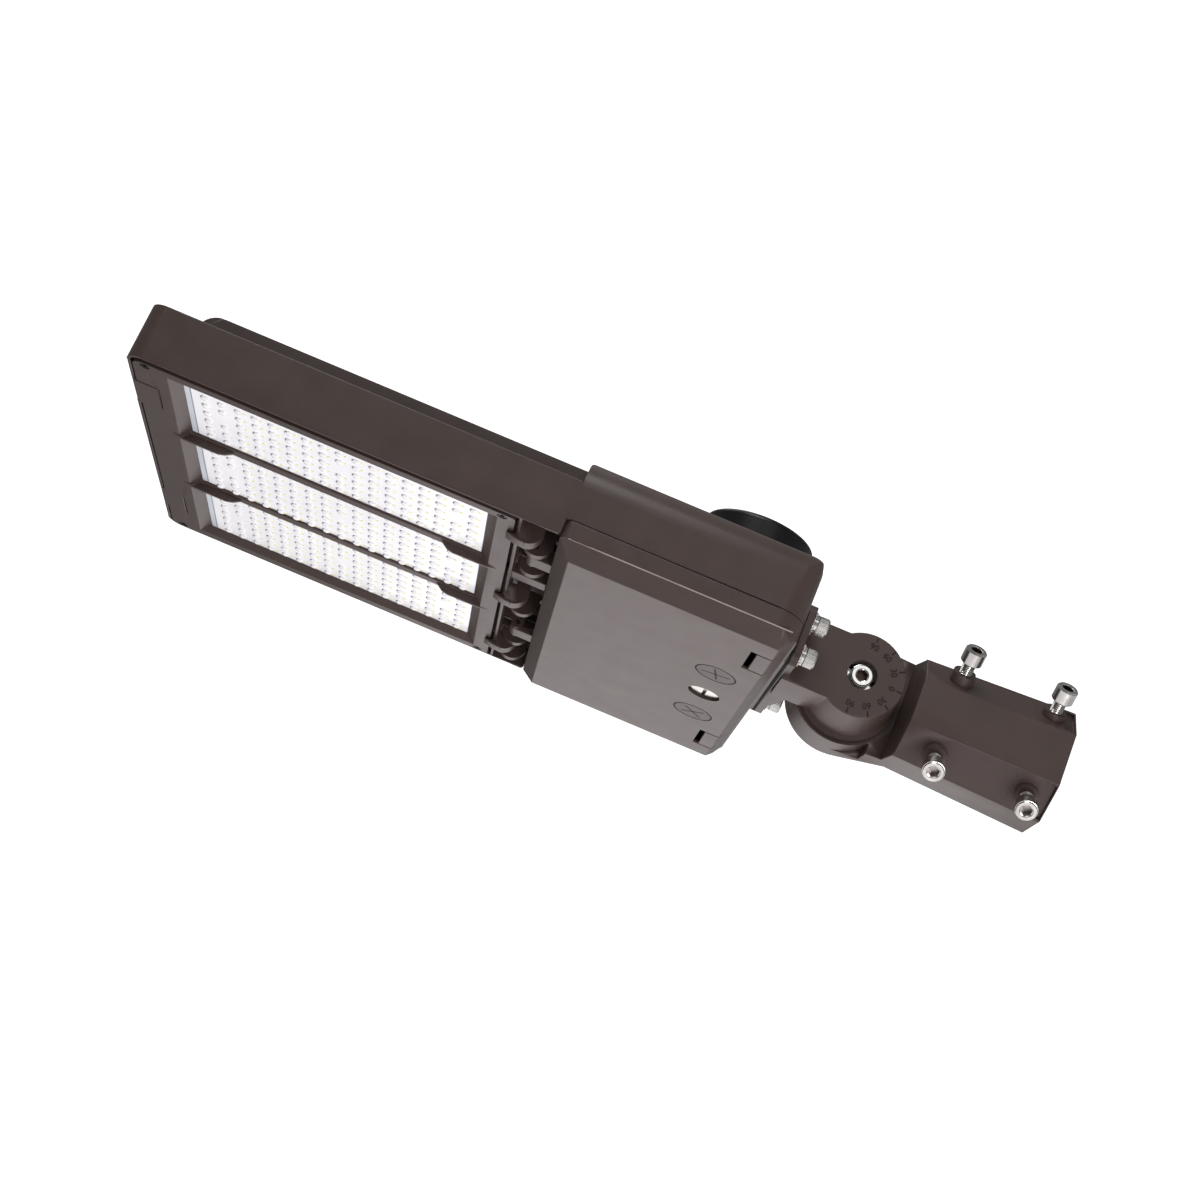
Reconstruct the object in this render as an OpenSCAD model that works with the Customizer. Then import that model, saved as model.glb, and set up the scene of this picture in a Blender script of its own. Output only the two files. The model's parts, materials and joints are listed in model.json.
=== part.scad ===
// Shoebox area light on an adjustable slip fitter.
// +X points out of the slip fitter towards the pole, +Z is up, the LEDs face -Z.
// The origin is the centre of the slip fitter's mouth.

/* [Fixture body] */
// Width of the fixture body
body_w = 330; // [320:1:345]
// Length of the body from the head end to the rear wall
body_len = 473; // [460:1:500]
// Length of the driver compartment
driver_len = 168; // [162:1:180]
// Drop from the slip-fitter axis to the skirt edge
axis_drop = 34.4; // [33:0.1:37]
// Height of the plain side wall above the skirt edge
side_wall_h = 39.8; // [37:0.1:43]
// Height of the driver compartment roof above the skirt edge
roof_h = 61.4; // [59:0.1:66]
// Wall thickness round the LED bay
bay_wall = 2.4; // [2:0.1:3.2]
// Wall thickness of the driver compartment
box_wall = 3.5; // [3.2:0.1:4.5]
// Corner radius in plan at the head end
head_corner_r = 12; // [8:1:18]
// Corner radius in plan at the rear
rear_corner_r = 20; // [12:1:26]
// Radius along the long top edges of the driver compartment
roof_side_r = 25; // [14:1:28]
// Radius across the rear top edge of the driver compartment
roof_rear_r = 16; // [12:1:18]
// Radius across the front top edge of the driver compartment
roof_front_r = 7; // [4:1:12]

/* [Heat sink] */
// Depth of the LED mounting plate above the skirt edge
plate_up = 9.9; // [9.4:0.1:11]
// Thickness of the LED mounting plate
plate_t = 4; // [3:0.1:6]
// Number of cooling fins
fin_count = 19; // [11:1:23]
// Thickness of one cooling fin
fin_t = 2.4; // [1.6:0.1:3]
// Height of the fin tops above the skirt edge
fin_top_h = 52.4; // [46:0.1:56]
// Distance from the outermost fin to the side of the body
fin_side_gap = 15; // [12:0.5:20]
// Distance from the head end to the first full fin height
fin_head_gap = 45; // [38:1:60]
// Radius of the rounded fin ends
fin_end_r = 14; // [8:1:18]

/* [Bezel] */
// Gap between the bezel and the side skirts
bezel_gap_side = 3; // [2:0.1:3.6]
// Gap between the bezel and the end walls
bezel_gap_end = 2.1; // [1.6:0.1:3]
// How far the bezel face stands below the skirt edge
bezel_proud = 1; // [0.6:0.1:1.4]
// Width of the bezel border along the long sides
border_side = 9; // [8:0.5:11]
// Width of the bezel border at the head end
border_head = 24.3; // [22:0.1:28]
// Width of the bezel border at the vent end
border_rear = 12.4; // [11:0.1:14]
// Slope width of the window edge along the long sides
slope_side = 4; // [2:0.5:5]
// Slope width of the window edge at the ends
slope_end = 8; // [5:0.5:9]
// Distance of each window divider from the centre line
divider_y = 48.6; // [46:0.1:51]
// Width of the shallow middle stretch of a divider
divider_w = 10; // [7:0.5:11]
// Depth of the shallow middle stretch of a divider
divider_t = 2; // [1.6:0.1:3]
// Thickness of the deep end fins of a divider
divider_fin_t = 3; // [2:0.1:4]
// How far the deep divider fins stand below the bezel face
divider_fin_proud = 1.4; // [1:0.1:2]
// Length of the deep fin at the head end of a divider
divider_fin_head = 34; // [30:1:38]
// Length of the deep fin at the vent end of a divider
divider_fin_rear = 32; // [28:1:36]
// Width of each head-end tab of the bezel
tab_w = 37; // [30:1:42]
// Distance of each head-end tab from the centre line
tab_y = 105; // [95:1:110]

/* [LED modules] */
// Height of the lens sheet above the skirt edge
lens_up = 4.9; // [4.4:0.1:5.2]
// Thickness of the lens sheet
lens_t = 2; // [1.6:0.1:2.4]
// How far the lens sheet laps behind the bezel
lens_lap = 3; // [2:0.1:4]
// Gap between neighbouring lens plates
lens_gap = 2; // [1.6:0.1:3]
// Thickness of an LED board
board_t = 1.6; // [1:0.1:2]
// Width of the gasket that rings each board
gasket_w = 3; // [2:0.1:4]
// Clearance between a gasket and its board
board_clear = 0.8; // [0.5:0.1:1.2]
// Radius of a board screw head
board_screw_head_r = 2.6; // [2.2:0.1:3]
// Radius of a board screw shank
board_screw_r = 1.5; // [1.2:0.1:1.8]
// Distance of the first board screw from the head end of a lens
board_screw_inset = 30; // [20:1:40]
// Distance of the last board screw from the rear edge of a lens
board_screw_inset_rear = 24.9; // [20:0.1:40]

/* [Bezel screws] */
// Radius of a bezel corner screw head
corner_head_r = 3.4; // [3:0.1:3.8]
// Radius of a bezel corner screw shank
corner_screw_r = 1.9; // [1.5:0.1:2.2]
// Distance of the corner screws in from the bezel ends
corner_inset_x = 9; // [8:0.5:12]
// Distance of the corner screws in from the bezel sides
corner_inset_y = 4.2; // [4:0.1:5]

/* [Vent] */
// Length of the through vent between the LED bay and the driver box
vent_len = 26.4; // [25:0.1:29]
// Thickness of a vent rib
vent_rib_t = 7; // [4:0.5:8]
// Height above the skirt edge at which the fins cross the vent
vent_fin_up = 32; // [30:1:36]
// Depth of the arched rib edge relative to the skirt edge
vent_arch_drop = 0.6; // [0:0.1:1]
// Radius of the arched rib edge
vent_arch_r = 11; // [9:0.5:12]
// Width of a bezel claw
claw_w = 12; // [8:0.5:14]
// How far a claw hangs below the skirt edge
claw_drop = 5.4; // [4.6:0.1:5.6]
// How far a claw reaches over the bezel
claw_reach = 4; // [3:0.1:4.6]
// Radius of the long curve under a claw
claw_tip_r = 37; // [33:1:42]
// Radius of the rising curve under a claw
claw_rise_r = 11; // [10:0.5:12]
// Width of the wire tunnel across the vent
tunnel_w = 14; // [12:0.5:16]
// Place of the wire tunnel across the body
tunnel_y = -38; // [-42:1:-34]
// Radius of the passage inside the wire tunnel
tunnel_r = 4; // [3.4:0.1:4.6]

/* [Driver door] */
// Height of the door's side walls above the skirt edge
door_wall_h = 12.2; // [11.4:0.1:13]
// Depth of the door's flat face below the skirt edge
door_depth = 11; // [10:0.1:13]
// Width of the bevel along the door's sides
door_bevel_side = 11.8; // [9:0.1:14]
// Width of the bevel at the door's front
door_bevel_front = 10.6; // [8:0.1:13]
// Width of the bevel at the door's rear
door_bevel_rear = 9.4; // [7:0.1:12]
// Width of the small ledge round the door
door_ledge = 1.3; // [0.8:0.1:2]
// Corner radius of the door in plan at its front
door_front_r = 5; // [3:1:8]
// Thickness of the door's face
door_t = 3; // [2.4:0.1:3.6]
// Seam between the door and the housing
seam = 0.6; // [0.5:0.1:0.8]
// Width of the door's gasket
door_gasket_w = 1.8; // [1.4:0.1:2]
// Depth of the gasket groove in the door's rim
door_groove = 2; // [1.5:0.1:2.6]
// Distance of the two spring tongues from the centre line
tongue_y = 108.5; // [100:0.5:112]
// Width of each spring tongue
tongue_w = 38; // [32:1:42]
// Width of the pocket in front of a tongue
tongue_pocket = 4; // [3:0.5:5]
// Length of the slits beside a tongue
tongue_len = 13; // [10:0.5:15]
// Width of the slits beside a tongue
tongue_slit = 1; // [0.8:0.1:1.4]
// Distance from the rear wall to the tip of a tongue
tongue_tip = 20; // [19:0.5:22]

/* [Door hinge] */
// Distance of the hinge arms from the centre line
hinge_y = 85; // [82:1:87]
// Width of a hinge arm
hinge_arm_w = 17; // [12:0.5:18]
// Distance of the hinge axis ahead of the door's front
hinge_ahead = 14.4; // [13:0.1:15]
// Height of the hinge axis above the skirt edge
hinge_up = 6.9; // [6.4:0.1:7.4]
// Radius of the hinge barrel on a door arm
hinge_barrel_r = 5.2; // [4.6:0.1:5.4]
// Radius of a hinge pin
hinge_pin_r = 2; // [1.6:0.1:2.4]
// Side clearance beside a hinge arm
hinge_side_clear = 0.5; // [0.4:0.1:0.8]
// Radial running clearance of the hinge pins
hinge_run = 0.08; // [0.04:0.01:0.1]

/* [Door screw and selectors] */
// Distance from the rear wall to the row of screw and plugs
row_inset = 36.5; // [34:0.5:38]
// Distance of the selector plugs from the centre line
plug_y = 52.6; // [50:0.1:56]
// Radius of a selector plug's face
plug_r = 14.9; // [13:0.1:16]
// Turn of the near plug's crossed slot, in degrees
plug_turn_near = -12; // [-45:1:45]
// Turn of the far plug's crossed slot, in degrees
plug_turn_far = 49; // [-60:1:60]
// Thickness of a selector plug's face
plug_face_t = 2; // [1.6:0.1:2.4]
// Radius of a selector plug's stem
plug_stem_r = 10.6; // [9:0.1:11.5]
// Length of a selector plug's stem
plug_stem_len = 4.6; // [4:0.1:5]
// Clearance round a selector plug
plug_clear = 0.35; // [0.3:0.05:0.5]
// Radius of the recess round the door screw
screw_recess_r = 12; // [11.4:0.1:13]
// Depth of the recess round the door screw
screw_recess_d = 1.8; // [1.2:0.1:2.2]
// Radius of the door screw's head
door_screw_head_r = 10.6; // [9:0.1:11]
// Thickness of the door screw's head
door_screw_head_t = 2.2; // [1.8:0.1:2.6]
// Radius of the door screw's shank
door_screw_r = 4; // [3.2:0.1:4.6]
// Radial running clearance of the door screw
door_screw_run = 0.08; // [0.04:0.01:0.1]
// Width of the slot in the door screw's head
door_slot_w = 2.2; // [1.6:0.1:2.8]
// Outer radius of the door screw's retaining ring
door_clip_r = 7; // [6:0.1:8]
// Width of a selector switch
selector_w = 26; // [24:0.5:30]
// Height of a selector switch
selector_h = 12; // [10:0.5:14]
// Radius of a selector switch's dial
dial_r = 7; // [6:0.1:8.5]

/* [Slip fitter] */
// Length of the slip-fitter socket
socket_len = 112.8; // [108:0.1:120]
// Half the width of the socket at its mouth
socket_half = 43.1; // [42:0.1:45]
// Half the width of the flat between two chamfers at the mouth
socket_flat = 19.2; // [17:0.1:21]
// Ratio of the socket's closed end to its mouth
socket_taper = 0.89; // [0.87:0.01:0.94]
// Radius of the bore that takes the pole tenon
tenon_r = 31.5; // [31:0.1:32]
// Depth of the tenon bore
tenon_depth = 100; // [94:0.5:103]
// Depth of the pockets between the screw bosses
chamfer_pocket = 3.4; // [2:0.1:4]
// Distance of the rear row of set screws from the mouth
set_rear_x = 87; // [84:0.5:90]
// Distance of the front row of set screws from the mouth
set_front_x = 17.5; // [16:0.5:20]
// Length of each screw boss along the socket
boss_len = 20.4; // [18:0.1:24]
// Radius of the round collar on a screw boss
collar_r = 8.6; // [8:0.1:9.6]
// Distance of the collar's face from the socket's axis
collar_top = 48; // [47:0.1:50]
// Radius of a set screw's shank
set_r = 4.8; // [4:0.1:5.2]
// Radius of a set screw's head
set_head_r = 8; // [7:0.1:8.6]
// Length of a set screw's head
set_head_len = 11; // [9:0.1:12]
// Length of a set screw's shank below its head
set_shank_len = 24; // [22:0.1:26]
// Distance of the set screws' heads from the socket's axis
set_head_at = 57; // [56:0.1:60]
// Radial clearance of the set screws in their holes
set_run = 0.08; // [0.04:0.01:0.1]
// Width across the flats of the hexagon sockets
hex_key = 8; // [7:0.5:8.5]

/* [Knuckle] */
// Distance from the socket's closed end to the tilt axis
pivot_back = 42.8; // [41:0.1:46]
// Distance from the tilt axis to the body's rear wall
pivot_to_body = 60; // [57:0.1:66]
// Half the width of the knuckle across both discs
knuckle_half = 41; // [39:0.5:43]
// Radius of the arm disc at its outer face
disc_r = 31.2; // [29:0.1:33]
// Radius of the arm disc at its inner face
disc_root_r = 34.6; // [33:0.1:35.5]
// Radius of the rim on the arm disc
disc_rim_r = 37.4; // [36.6:0.1:38]
// Thickness of the rim on the arm disc
disc_rim_t = 3; // [2:0.1:4]
// Place of the arm disc's inner face across the fixture
joint_y = 2; // [0:0.5:3]
// Gap between the two serrated faces
joint_gap = 1.6; // [1.4:0.1:2]
// Radius of the socket-side disc
yoke_r = 40.4; // [39.4:0.1:41]
// Number of teeth on each serrated face
tooth_count = 60; // [36:4:72]
// Height of one tooth
tooth_h = 0.6; // [0.4:0.1:0.6]
// Radius of the recess round the pivot bolt's head
pivot_recess_r = 10.8; // [10:0.1:12]
// Depth of the recess round the pivot bolt's head
pivot_recess_d = 13; // [12.5:0.1:15]
// Radius of the pivot bolt's shank
pivot_r = 5; // [4.4:0.1:5.4]
// Radial running clearance of the pivot bolt
pivot_run = 0.08; // [0.04:0.01:0.1]
// Radius of the pivot bolt's head
pivot_head_r = 8; // [7.4:0.1:8.4]
// Length of the pivot bolt's head
pivot_head_len = 10; // [8:0.1:10.5]
// Thickness of the pivot washers
pivot_washer_t = 2; // [1.6:0.1:2.2]
// Half the height of the arm
arm_half_h = 25.6; // [23:0.1:27]
// Radius of the wire passage through the knuckle
wire_r = 7; // [6:0.1:7.4]
// Height of the wire passage above the tilt axis
wire_up = 14.5; // [13.6:0.1:15]
// Place of the wire passage across the knuckle
wire_y = 21; // [18:0.5:24]

/* [Flange] */
// Half the width of the flange
flange_half_w = 72; // [70:0.5:76]
// Half the height of the flange
flange_half_h = 23.5; // [22:0.1:26]
// Thickness of the flange
flange_t = 5.4; // [4.6:0.1:6.4]
// Corner radius of the flange
flange_r = 8; // [5:0.5:9]
// Thickness of the flange's gasket
flange_gasket_t = 2; // [1.5:0.1:3]
// Thickness of the raised pad on the body's rear wall
rear_pad = 4.6; // [3:0.1:6]
// Distance of the flange bolts from the centre line
bolt_y = 62; // [59:0.5:63]
// Half the height of the flange bolt pattern
bolt_half_z = 12.5; // [11:0.1:14]
// Radius of a flange bolt's shank
bolt_r = 3.9; // [3.4:0.1:4.2]
// Radius of a flange bolt's head
bolt_head_r = 6.8; // [6.2:0.1:7]
// Length of a flange bolt's head
bolt_head_len = 8; // [7:0.1:9]
// Radius of the flange bolts' washers
washer_r = 8.2; // [7.4:0.1:9]
// Thickness of the serrated washers
washer_t = 1.6; // [1.2:0.1:2]
// Thickness of the split washers
split_t = 2; // [1.6:0.1:2.4]

/* [Photocontrol] */
// Distance from the body's rear wall to the receptacle's axis
cell_inset = 41.5; // [40.5:0.1:44]
// Radius of the receptacle's flange
receptacle_r = 33; // [31:0.1:34]
// Radius of the receptacle's barrel
barrel_r = 19.6; // [18:0.1:21]
// Thickness of the gasket under the receptacle
cell_gasket_t = 2; // [1.6:0.1:3]
// Height of the receptacle's flange
receptacle_h = 7.5; // [6:0.1:9]
// Depth of the receptacle's barrel below the roof
barrel_depth = 16; // [14:0.5:18]
// Radial clearance of the receptacle in the roof
barrel_clear = 0.3; // [0.2:0.05:0.4]
// Radius of the cap
cap_r = 42; // [40:0.5:43]
// Height of the cap's top above the roof
cap_top_h = 56; // [50:0.5:60]
// Radius of the cap's rounded top edge
cap_edge_r = 4; // [3:0.5:6]
// Wall thickness of the cap
cap_wall = 3; // [2.4:0.1:3.6]
// Radius at which the contact blades stand
blade_at = 13; // [11.5:0.1:13.4]
// Thickness of a contact blade
blade_t = 1.6; // [1.2:0.1:1.8]
// Arc length of a contact blade in degrees
blade_deg = 24; // [18:1:28]
// Length of a contact blade below the cap's floor
blade_len = 12; // [10:0.5:13]
// Turn that unlocks the cap
cap_turn = 20; // [16:1:24]

/* [Electrics] */
// Length of the LED driver
driver_body_len = 104; // [90:1:110]
// Distance of the LED driver's middle ahead of the compartment's middle
driver_ahead = 7.5; // [4:0.5:9]
// Distance of the lead's entry from the driver's head end
lead_entry = 8; // [6:1:12]
// Distance of the mains entry from the driver's head end
mains_entry = 57; // [50:1:62]
// Width of the LED driver
driver_body_w = 64; // [56:1:68]
// Height of the LED driver
driver_body_h = 34; // [30:0.5:36]
// Length of the surge protector
surge_len = 52; // [44:1:56]
// Width of the surge protector
surge_w = 30; // [26:1:34]
// Height of the surge protector
surge_h = 26; // [22:0.5:30]
// Length of the terminal block
terminal_len = 30; // [26:1:36]
// Distance of the terminal block's head end from the rear wall
terminal_to_rear = 68.5; // [62:0.5:70]
// Gap between the surge protector and the terminal block
surge_to_terminal = 14; // [8:1:18]
// Distance of the ground screw behind the terminal block
ground_to_terminal = 12; // [10:0.5:13]
// Width of the terminal block
terminal_w = 16; // [14:1:18]
// Height of the terminal block
terminal_h = 14; // [12:0.5:16]
// Radius of the jacketed leads
lead_r = 2; // [1.5:0.1:2.4]

/* [Hidden] */
$fn = 64;
eps = 0.01;
big = 1000;
bronze = "#4a3f3c";
bronze_dark = "#3a302e";
steel = "#c9c6c2";
cap_black = "#1c1d1f";
lens_white = "#eef1f4";
rubber_black = "#232323";
plastic_grey = "#6d6a68";

// Places along X
pivot_x = -(socket_len + pivot_back);
rear_x = pivot_x - pivot_to_body;
head_x = rear_x - body_len;
seam_x = rear_x - driver_len;
vent_x0 = seam_x - vent_len;
bay_x0 = head_x + bay_wall;
bay_x1 = vent_x0 - bay_wall;
bezel_x0 = bay_x0 + bezel_gap_end;
bezel_x1 = bay_x1 - bezel_gap_end;
window_x0 = bezel_x0 + border_head;
window_x1 = bezel_x1 - border_rear;
lens_x0 = window_x0 + slope_end - lens_lap;
lens_x1 = window_x1 - slope_end + lens_lap;
row_x = rear_x - row_inset;
cell_x = rear_x - cell_inset;
hinge_x = seam_x - hinge_ahead;

// Places along Y
half_w = body_w / 2;
bay_half = half_w - bay_wall;
bezel_half = bay_half - bezel_gap_side;
window_half = bezel_half - border_side;
lens_half = window_half - slope_side + lens_lap;

// Places along Z
skirt_z = -axis_drop;
wall_top_z = skirt_z + side_wall_h;
roof_z = skirt_z + roof_h;
roof_in_z = roof_z - box_wall;
plate_z = skirt_z + plate_up;
plate_top_z = plate_z + plate_t;
fin_top_z = skirt_z + fin_top_h;
face_z = skirt_z - bezel_proud;
vent_fin_z = skirt_z + vent_fin_up;
lens_z = skirt_z + lens_up;
lens_top_z = lens_z + lens_t;
seam_z = skirt_z + door_wall_h;
door_top_z = seam_z - seam;
flat_z = skirt_z - door_depth;
door_in_z = flat_z + door_t;
hinge_z = skirt_z + hinge_up;
flange_zc = 1;
pad_x = rear_x + rear_pad;
flange_back_x = pad_x + flange_gasket_t;
flange_face_x = flange_back_x + flange_t;
cell_floor_z = roof_z + cell_gasket_t + receptacle_h;
cap_top_z = roof_z + cap_top_h;
rim_wall = box_wall + 1;
fin_pitch = (body_w - 2 * fin_side_gap) / (fin_count - 1);
module_w = (2 * lens_half - 2 * lens_gap) / 3;

// A box given by two opposite corners
module block(a, b) {
    translate([min(a[0], b[0]), min(a[1], b[1]), min(a[2], b[2])])
        cube([abs(b[0] - a[0]), abs(b[1] - a[1]), abs(b[2] - a[2])]);
}

// Plan outline with one corner radius at the head end and another at the rear
module plan(x0, x1, hw, r0, r1) {
    translate([x0 + r0, -hw]) square([x1 - x0 - r0 - r1, 2 * hw]);
    translate([x0, -hw + r0]) square([r0 + 1, 2 * hw - 2 * r0]);
    translate([x1 - r1 - 1, -hw + r1]) square([r1 + 1, 2 * hw - 2 * r1]);
    for (s = [-1, 1]) {
        translate([x0 + r0, s * (hw - r0)]) circle(r0);
        translate([x1 - r1, s * (hw - r1)]) circle(r1);
    }
}

// Upright prism over a plan outline
module plan_prism(x0, x1, hw, r0, r1, z0, z1) {
    translate([0, 0, z0]) linear_extrude(z1 - z0) plan(x0, x1, hw, r0, r1);
}

// Side view outline (X across, Z up) with rounded top corners
module rounded_top(u0, u1, v0, v1, r0, r1) {
    translate([u0, v0]) square([u1 - u0, v1 - v0 - max(r0, r1)]);
    translate([u0 + r0, v0]) square([u1 - u0 - r0 - r1, v1 - v0]);
    translate([u0, v0]) square([r0 + eps, v1 - v0 - r0]);
    translate([u1 - r1 - eps, v0]) square([r1 + eps, v1 - v0 - r1]);
    translate([u0 + r0, v1 - r0]) circle(r0);
    translate([u1 - r1, v1 - r1]) circle(r1);
}

// Extrude an X-Z outline across the body, from y0 to y1
module across(y0, y1) {
    translate([0, y1, 0]) rotate([90, 0, 0]) linear_extrude(y1 - y0) children();
}

// Extrude a Y-Z outline along the body, from x0 to x1
module along(x0, x1) {
    translate([x0, 0, 0]) rotate([90, 0, 90]) linear_extrude(x1 - x0) children();
}

// Cylinder along X, Y or at 45 degrees
module rod_x(x0, x1, y, z, r) {
    translate([x0, y, z]) rotate([0, 90, 0]) cylinder(h = x1 - x0, r = r);
}

module rod_y(x, y0, y1, z, r) {
    translate([x, y0, z]) rotate([-90, 0, 0]) cylinder(h = y1 - y0, r = r);
}

// Hexagon prism for a key, standing on z = 0
module hex_prism(width, h) {
    cylinder(h = h, r = width / sqrt(3), $fn = 6);
}

// Socket-head screw: shank below z = 0, head above it
module socket_screw(r, len, head_r, head_len, key) {
    difference() {
        union() {
            translate([0, 0, -len]) cylinder(h = len, r = r);
            cylinder(h = head_len, r = head_r);
        }
        translate([0, 0, head_len * 0.45]) hex_prism(key, head_len);
    }
}

// Round tube swept along a list of points
function tangent(p, i) =
    let (a = p[max(i - 1, 0)], b = p[min(i + 1, len(p) - 1)], d = b - a) d / norm(d);
function ring_at(p, i, r, sides) =
    let (t = tangent(p, i), ref = abs(t[2]) > 0.9 ? [0, 1, 0] : [0, 0, 1],
        u = cross(t, ref) / norm(cross(t, ref)), v = cross(t, u))
    [for (k = [0 : sides - 1]) p[i] + r * (cos(360 * k / sides) * u + sin(360 * k / sides) * v)];
module tube_along(p, r, sides = 10) {
    n = len(p);
    rings = [for (i = [0 : n - 1]) each ring_at(p, i, r, sides)];
    walls = [for (i = [0 : n - 2]) for (k = [0 : sides - 1])
        let (a = i * sides + k, b = i * sides + (k + 1) % sides)
        each [[a, b, b + sides], [a, b + sides, a + sides]]];
    polyhedron(rings, concat(walls, [[for (k = [sides - 1 : -1 : 0]) k]],
        [[for (k = [0 : sides - 1]) (n - 1) * sides + k]]));
}

// ---------------------------------------------------------------- slip fitter

// Octagon cross-section of the socket, drawn with X as height and Y as width
module socket_section() {
    a = socket_half;
    b = socket_flat;
    polygon([[a, b], [b, a], [-b, a], [-a, b], [-a, -b], [-b, -a], [b, -a], [a, -b]]);
}

// Tapered octagon from the mouth back to the closed end
module socket_shell() {
    mirror([1, 0, 0]) rotate([0, 90, 0]) linear_extrude(socket_len, scale = socket_taper) socket_section();
}

chamfer_at = (socket_half + socket_flat) / sqrt(2);
chamfer_w = (socket_half - socket_flat) * sqrt(2) * 0.86;

// Cutter that leaves the screw bosses standing on one near chamfer
module chamfer_pockets(up) {
    lean = 90 - atan(socket_half * (1 - socket_taper) / socket_len);
    stops = [[-socket_len - 1, -set_rear_x - boss_len / 2],
        [-set_rear_x + boss_len / 2, -set_front_x - boss_len / 2],
        [-set_front_x + boss_len / 2, 1]];
    for (s = stops)
        rotate([up ? 45 : 135, 0, 0])
            translate([s[0], -chamfer_w / 2, 0])
                rotate([0, lean - 90, 0])
                    translate([0, 0, chamfer_at - chamfer_pocket]) cube([s[1] - s[0], chamfer_w, 20]);
}

// Turn +Z to the outward direction of a near chamfer, at a place along the socket
module on_chamfer(x, up) {
    translate([x, 0, 0]) rotate([up ? 45 : 135, 0, 0]) children();
}

// Radial teeth on a face at y, standing up by rise and rooted a little in the face
module teeth(r0, r1, y, rise) {
    root = rise > 0 ? -0.5 : 0.5;
    for (k = [0 : tooth_count - 1])
        rotate([0, 360 * k / tooth_count, 0])
            translate([r0, min(y + root, y + rise), -0.7]) cube([r1 - r0, abs(rise) + 0.5, 1.4]);
}

module slipfitter_socket() {
    yoke_y0 = joint_y + joint_gap;
    // How far across the arm's root reaches where it passes the yoke
    arm_root_y = joint_y + (knuckle_half + 4 - joint_y) * 5 / (pivot_x - flange_face_x - yoke_r + 3);
    color(bronze) difference() {
        union() {
            socket_shell();
            hull() {
                translate([pivot_x, 0, 0]) rod_y(0, yoke_y0, knuckle_half - 3, 0, yoke_r);
                translate([-socket_len, 0, 0]) rotate([0, 90, 0])
                    linear_extrude(2) scale(socket_taper) socket_section();
            }
            translate([pivot_x, 0, 0]) teeth(disc_root_r - 10, disc_root_r, yoke_y0, -tooth_h);
            for (up = [true, false]) for (x = [-set_rear_x, -set_front_x])
                on_chamfer(x, up) cylinder(h = collar_top, r = collar_r);
        }
        rod_x(-tenon_depth, eps, 0, 0, tenon_r);
        for (up = [true, false]) chamfer_pockets(up);
        for (up = [true, false]) for (x = [-set_rear_x, -set_front_x])
            on_chamfer(x, up) cylinder(h = collar_top + 1, r = set_r + set_run);
        // Room for the arm's disc and rim beside the yoke
        rod_y(pivot_x, -knuckle_half - 30, yoke_y0 - tooth_h, 0, disc_rim_r + 1.4);
        rod_y(pivot_x, yoke_y0 - tooth_h - eps, yoke_y0, 0, disc_root_r - 10);
        difference() {
            rod_y(pivot_x, yoke_y0 - tooth_h - eps, yoke_y0, 0, disc_rim_r + 1.4);
            rod_y(pivot_x, yoke_y0 - tooth_h - 1, yoke_y0 + 1, 0, disc_root_r);
        }
        // Near the arm the octagon ends square, and only its far half runs on into the yoke
        translate([0, 0, -socket_half - 1]) linear_extrude(2 * socket_half + 2) polygon([
            [pivot_x - yoke_r - 1, -knuckle_half - 30], [-socket_len, -knuckle_half - 30],
            [-socket_len, -socket_flat], [pivot_x + disc_rim_r + 1.4, yoke_y0 - tooth_h],
            [pivot_x - yoke_r - 1, yoke_y0 - tooth_h]]);
        // Room for the arm's root at either end of the tilt
        difference() {
            block([pivot_x - yoke_r - 1, -knuckle_half - 30, -socket_half - 1],
                [pivot_x + arm_half_h + joint_gap / 2, arm_root_y, socket_half + 1]);
            rod_y(pivot_x, yoke_y0 - tooth_h, knuckle_half, 0, yoke_r);
        }
        rod_y(pivot_x, 0, knuckle_half + 1, 0, pivot_r + pivot_run);
        rod_y(pivot_x, knuckle_half - 3 - pivot_recess_d, knuckle_half + 1, 0, pivot_recess_r);
        rod_x(pivot_x - yoke_r - 1, -tenon_depth + 1, wire_y, wire_up, wire_r);
    }
}

module set_screw(x, up) {
    color(steel) on_chamfer(x, up) translate([0, 0, set_head_at])
        socket_screw(set_r, set_shank_len, set_head_r, set_head_len, hex_key);
}

module set_screw_upper_rear() { set_screw(-set_rear_x, true); }
module set_screw_upper_front() { set_screw(-set_front_x, true); }
module set_screw_lower_rear() { set_screw(-set_rear_x, false); }
module set_screw_lower_front() { set_screw(-set_front_x, false); }

// ---------------------------------------------------------------- knuckle and flange

flange_corners = [for (sy = [-1, 1]) for (sz = [-1, 1]) [sy, sz]];

module flange_outline() {
    h = flange_half_h;
    w = flange_half_w;
    union() {
        translate([-w + flange_r, flange_zc - h]) square([2 * (w - flange_r), 2 * h]);
        translate([-w, flange_zc - h + flange_r]) square([2 * w, 2 * (h - flange_r)]);
        for (c = flange_corners)
            translate([c[0] * (w - flange_r), flange_zc + c[1] * (h - flange_r)]) circle(flange_r);
    }
}

module at_bolts(x) {
    for (c = flange_corners)
        translate([x, c[0] * bolt_y, flange_zc + c[1] * bolt_half_z]) rotate([0, 90, 0]) children();
}

// Arm disc, turned about the tilt axis
module arm_disc() {
    rotate([-90, 0, 0]) rotate_extrude()
        polygon([[0, -knuckle_half], [disc_r - 0.8, -knuckle_half], [disc_r, -knuckle_half + 0.8],
            [disc_root_r, joint_y - disc_rim_t], [disc_rim_r, joint_y - disc_rim_t + 0.6],
            [disc_rim_r, joint_y], [0, joint_y]]);
}

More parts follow.
